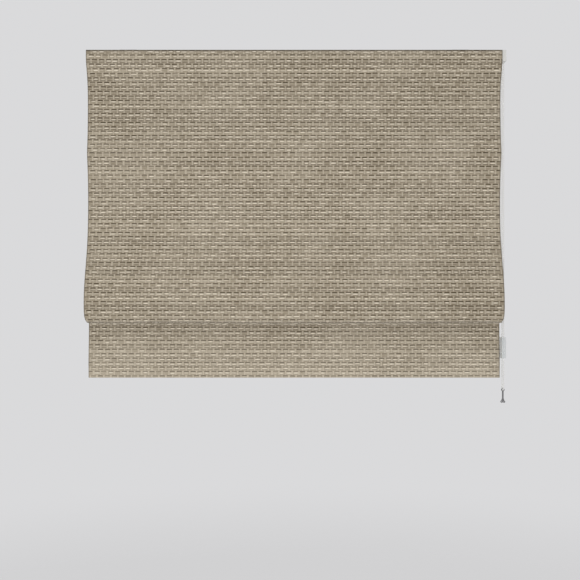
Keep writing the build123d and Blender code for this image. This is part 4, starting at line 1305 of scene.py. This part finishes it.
class BLIND_OT_lining(bpy.types.Operator):
    """Adds the lining behind the face cloth, one sheet for each panel"""

    bl_idname = "blind.lining"
    bl_label = "Lining"

    def execute(self, context):
        settings = context.scene.blind_cloth
        ensure_shared()
        half = settings.width / 2 - settings.lining_inset
        near = 1.5 * settings.thickness + SEWN_GAP
        far = near + settings.lining_thickness
        edge = half - LINING_MARGIN
        inner = np.linspace(INNER_MARGIN - half, half - INNER_MARGIN, LINING_COLUMNS)
        columns = np.concatenate(([-edge], inner, [edge]))
        for label, start, end, _, _ in PANELS[1:]:
            first, last = lining_span(start, end, LINING_STOP)
            rows = cloth_rows(first, last, settings.row_pitch, 2 if label == "panel_middle" else 3)
            x, travel = np.meshgrid(columns, rows)
            off = waver(x, travel, settings.billow)
            front, back = cloth_grids(rows, x, (off - near, off - far))
            piece = grid_sheet("lining_" + label, front, back, rows, columns, "Lining Cloth")
            bind_panel(piece, label)
            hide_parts("lining")
        return {"FINISHED"}


class BLIND_OT_tapes(bpy.types.Operator):
    """Adds the rod pocket tapes across the back and the loop strip at the heading"""

    bl_idname = "blind.tapes"
    bl_label = "Pocket Tapes"

    def execute(self, context):
        settings = context.scene.blind_cloth
        ensure_shared()
        half = settings.width / 2 - TAPE_INSET
        columns = np.linspace(-half, half, TAPE_COLUMNS)
        lower_seam = LINE.mark["middle_seam"] + ROD_SPACING * MM
        for level, body, travel, rod_y, rod_z in (
            ("upper", "upper_rod", LINE.mark["upper_seam"], ROD_Y, RING_UPPER_Z),
            ("middle", "middle_rod", LINE.mark["middle_seam"], ROD_Y, RING_MIDDLE_Z),
            ("lower", "lower_panel", lower_seam, CORD_Y, ROD_LOWER_Z),
        ):
            path = tape_path(travel, np.array((rod_y, rod_z)) * MM)
            steps = lengths_along(path)
            ways = np.gradient(path, axis=0)
            ways /= np.linalg.norm(ways, axis=1)[:, None]
            outs = np.stack((ways[:, 1], -ways[:, 0]), axis=1)
            sides = []
            for way in (TAPE_HALF, -TAPE_HALF):
                x, y = np.meshgrid(columns, (path + way * outs)[:, 0])
                _, z = np.meshgrid(columns, (path + way * outs)[:, 1])
                sides.append(np.stack((x, y, z), axis=2))
            piece = grid_sheet("pocket_tape_" + level, *sides, steps, columns, "Pocket Tape")
            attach(piece, body)
            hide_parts("rod_pocket_" + level)

        low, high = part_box("loop_strip")
        rows = np.linspace(high[2], low[2], STRIP_ROWS)
        columns = np.linspace(low[0], high[0], STRIP_COLUMNS)
        x, z = np.meshgrid(columns, rows)
        bow = STRIP_INSET * np.sin(STRIP_WAVER * x) * np.sin(pi * (z - low[2]) / (high[2] - low[2]))
        sides = [np.stack((x, y + bow, z), axis=2) for y in (low[1] + STRIP_INSET, high[1] - STRIP_INSET)]
        piece = grid_sheet("loop_tape", *sides, -rows, columns, "Loop Strip")
        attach(piece, "rail")
        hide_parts("loop_strip")
        return {"FINISHED"}


class BLIND_OT_stitching(bpy.types.Operator):
    """Adds the sewing along the seams, the hems and the lining's edges"""

    bl_idname = "blind.stitching"
    bl_label = "Stitching"

    def execute(self, context):
        settings = context.scene.blind_cloth
        ensure_shared()
        half = settings.width / 2
        sizes = {**STITCH, "Material": finish_of("Sewing Thread")}
        across = np.arange(STITCH_MARGINS[0] - half, half - STITCH_MARGINS[1], STITCH_PITCH)
        lots = np.random.default_rng(11)

        def sew(name, x, travel, lift, facing, along):
            """Stitches at these places, this far in front of the cloth's line."""
            y, z, out_y, out_z = LINE.at(travel)
            none = np.zeros_like(x)
            off = waver(x, travel, settings.billow) + lift
            spots = np.stack((x, y + off * out_y, z + off * out_z), axis=1)
            outs = facing * np.stack((none, out_y, out_z), axis=1)
            ways = np.stack((none + 1.0, none, none) if along == "x" else (none, -out_z, out_y), axis=1)
            spans = lots.normal(1.0, STITCH_SPREAD, len(x))
            base = points_mesh(name, spots, outs, ways, spans, none + 0.5)
            piece = grown(name, base, "Thread Lengths", sizes)
            return piece

        front = settings.thickness / 2
        behind = -(1.5 * settings.thickness + SEWN_GAP + settings.lining_thickness)
        for level, drop, body in (
            ("upper", SEAM_STITCH_DROP, "upper_rod"),
            ("middle", SEAM_STITCH_DROP, "middle_rod"),
            ("lower", 0.0, "lower_panel"),
        ):
            travel = np.full_like(across, LINE.mark[level + "_seam"] + drop)
            piece = sew("seam_stitches_" + level, across, travel, front - SEAM_STITCH_SINK, 1.0, "x")
            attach(piece, body)
        travel = np.full_like(across, LINE.mark["hem_top"] + HEM_STITCH_DROP)
        piece = sew("hem_stitches", across, travel, front + HEM_STITCH_RISE, 1.0, "x")
        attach(piece, "lower_panel")
        edge = half - settings.lining_inset - LINING_STITCH_INSET
        for label, start, end, _, _ in PANELS[1:]:
            first, last = lining_span(start, end, LINING_STITCH_STOP)
            after, before = LINING_STITCH_MARGINS
            travel = np.arange(first + after, last - before, LINING_STITCH_PITCH)
            x = np.repeat((-edge, edge), len(travel))
            piece = sew("lining_stitches_" + label, x, np.tile(travel, 2), behind, -1.0, "z")
            bind_panel(piece, label)
        return {"FINISHED"}


class BLIND_OT_lift_cords(bpy.types.Operator):
    """Adds the three lift cords, from the spools through the rings to the anchors"""

    bl_idname = "blind.lift_cords"
    bl_label = "Lift Cords"

    def execute(self, context):
        ensure_shared()
        y = CORD_Y * MM
        for place, centre in zip(("left", "centre", "right"), SPOOL_X):
            x = centre * MM
            for level, top, bottom, above in (
                ("upper", SHAFT_Z, RING_UPPER_Z, "rail"),
                ("middle", RING_UPPER_Z, RING_MIDDLE_Z, "upper_rod"),
                ("lower", RING_MIDDLE_Z, ANCHOR_TOP_Z - ANCHOR_SINK, "middle_rod"),
            ):
                points = [(x, y, (top + (bottom - top) * i / 4) * MM) for i in range(5)]
                piece = tube_piece(f"lift_cord_{place}_{level}", points, CORD_RADIUS, 10, "Lift Cord")
                if level == "lower":
                    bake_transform(piece)
                else:
                    gather(piece, above)
                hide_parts("lift_cord_" + place)
            wound = []
            for i in range(WINDING_TURNS * WINDING_STEPS + 1):
                turned = i / WINDING_STEPS
                wound.append((
                    x - WINDING_PITCH * (WINDING_TURNS - turned),
                    WINDING_RADIUS * cos(2 * pi * turned),
                    SHAFT_Z * MM - WINDING_RADIUS * sin(2 * pi * turned),
                ))
            piece = tube_piece("cord_winding_" + place, wound, CORD_RADIUS, 8, "Lift Cord")
            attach(piece, "drive")
        return {"FINISHED"}


FINISHES = {
    "Rail Paint": ("headrail",),
    "White Plastic": (
        "end_cap_left", "control_housing", "control_cover", "chain_wheel", "chain_connector",
    ),
    "Grey Plastic": (
        "chain_tidy", "clutch_core", "spool_left", "spool_centre", "spool_right",
        "spool_cradle_left", "spool_cradle_centre", "spool_cradle_right",
    ),
    "Bracket Steel": ("bracket_left", "bracket_right"),
    "Spring Steel": ("clutch_spring",),
    "Shaft Steel": ("drive_shaft",),
    "Hook Strip Plastic": ("hook_strip",),
    "Clear Plastic": ("chain_guide", "cord_rings_upper", "cord_rings_middle", "cord_anchors"),
    "Rod Fibreglass": ("rod_upper", "rod_middle", "rod_lower"),
    "Bar Aluminium": ("bottom_bar",),
    "Bar Caps": ("bottom_bar_cap_left", "bottom_bar_cap_right"),
}


class BLIND_OT_hardware(bpy.types.Operator):
    """Gives the rail, drive, rods, bar and guides their finishes"""

    bl_idname = "blind.hardware"
    bl_label = "Hardware Finishes"

    def execute(self, context):
        ensure_shared()
        for finish, names in FINISHES.items():
            for name in names:
                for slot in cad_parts[name].material_slots:
                    slot.material = finish_of(finish)
        return {"FINISHED"}


OPERATORS = (
    BLIND_OT_stage, BLIND_OT_chain, BLIND_OT_face_cloth, BLIND_OT_weft_floats, BLIND_OT_lining,
    BLIND_OT_tapes, BLIND_OT_stitching, BLIND_OT_lift_cords, BLIND_OT_hardware,
)

SETTINGS = {
    "blind_cloth": BLIND_ClothSettings,
    "blind_chain": BLIND_ChainSettings,
    "blind_stage": BLIND_StageSettings,
}


class BLIND_PT_panel(bpy.types.Panel):
    """Lists the blind's settings and pieces"""

    bl_idname = "BLIND_PT_panel"
    bl_label = "Roman Blind"
    bl_space_type = "VIEW_3D"
    bl_region_type = "UI"
    bl_category = "Blind"

    def draw(self, context):
        for name in SETTINGS:
            settings = getattr(context.scene, name)
            box = self.layout.box()
            for label in settings.__annotations__:
                box.prop(settings, label)
        for operator in OPERATORS:
            self.layout.operator(operator.bl_idname)


def register():
    for settings in SETTINGS.values():
        bpy.utils.register_class(settings)
    for operator in OPERATORS:
        bpy.utils.register_class(operator)
    bpy.utils.register_class(BLIND_PT_panel)
    for name, settings in SETTINGS.items():
        setattr(bpy.types.Scene, name, bpy.props.PointerProperty(type=settings))


def unregister():
    for name in SETTINGS:
        delattr(bpy.types.Scene, name)
    bpy.utils.unregister_class(BLIND_PT_panel)
    for operator in reversed(OPERATORS):
        bpy.utils.unregister_class(operator)
    for settings in reversed(list(SETTINGS.values())):
        bpy.utils.unregister_class(settings)


def main():
    register()
    bpy.ops.blind.stage()
    bpy.ops.blind.chain()
    bpy.ops.blind.face_cloth()
    bpy.ops.blind.weft_floats()
    bpy.ops.blind.lining()
    bpy.ops.blind.tapes()
    bpy.ops.blind.stitching()
    bpy.ops.blind.lift_cords()
    bpy.ops.blind.hardware()


if __name__ == "__main__":
    main()
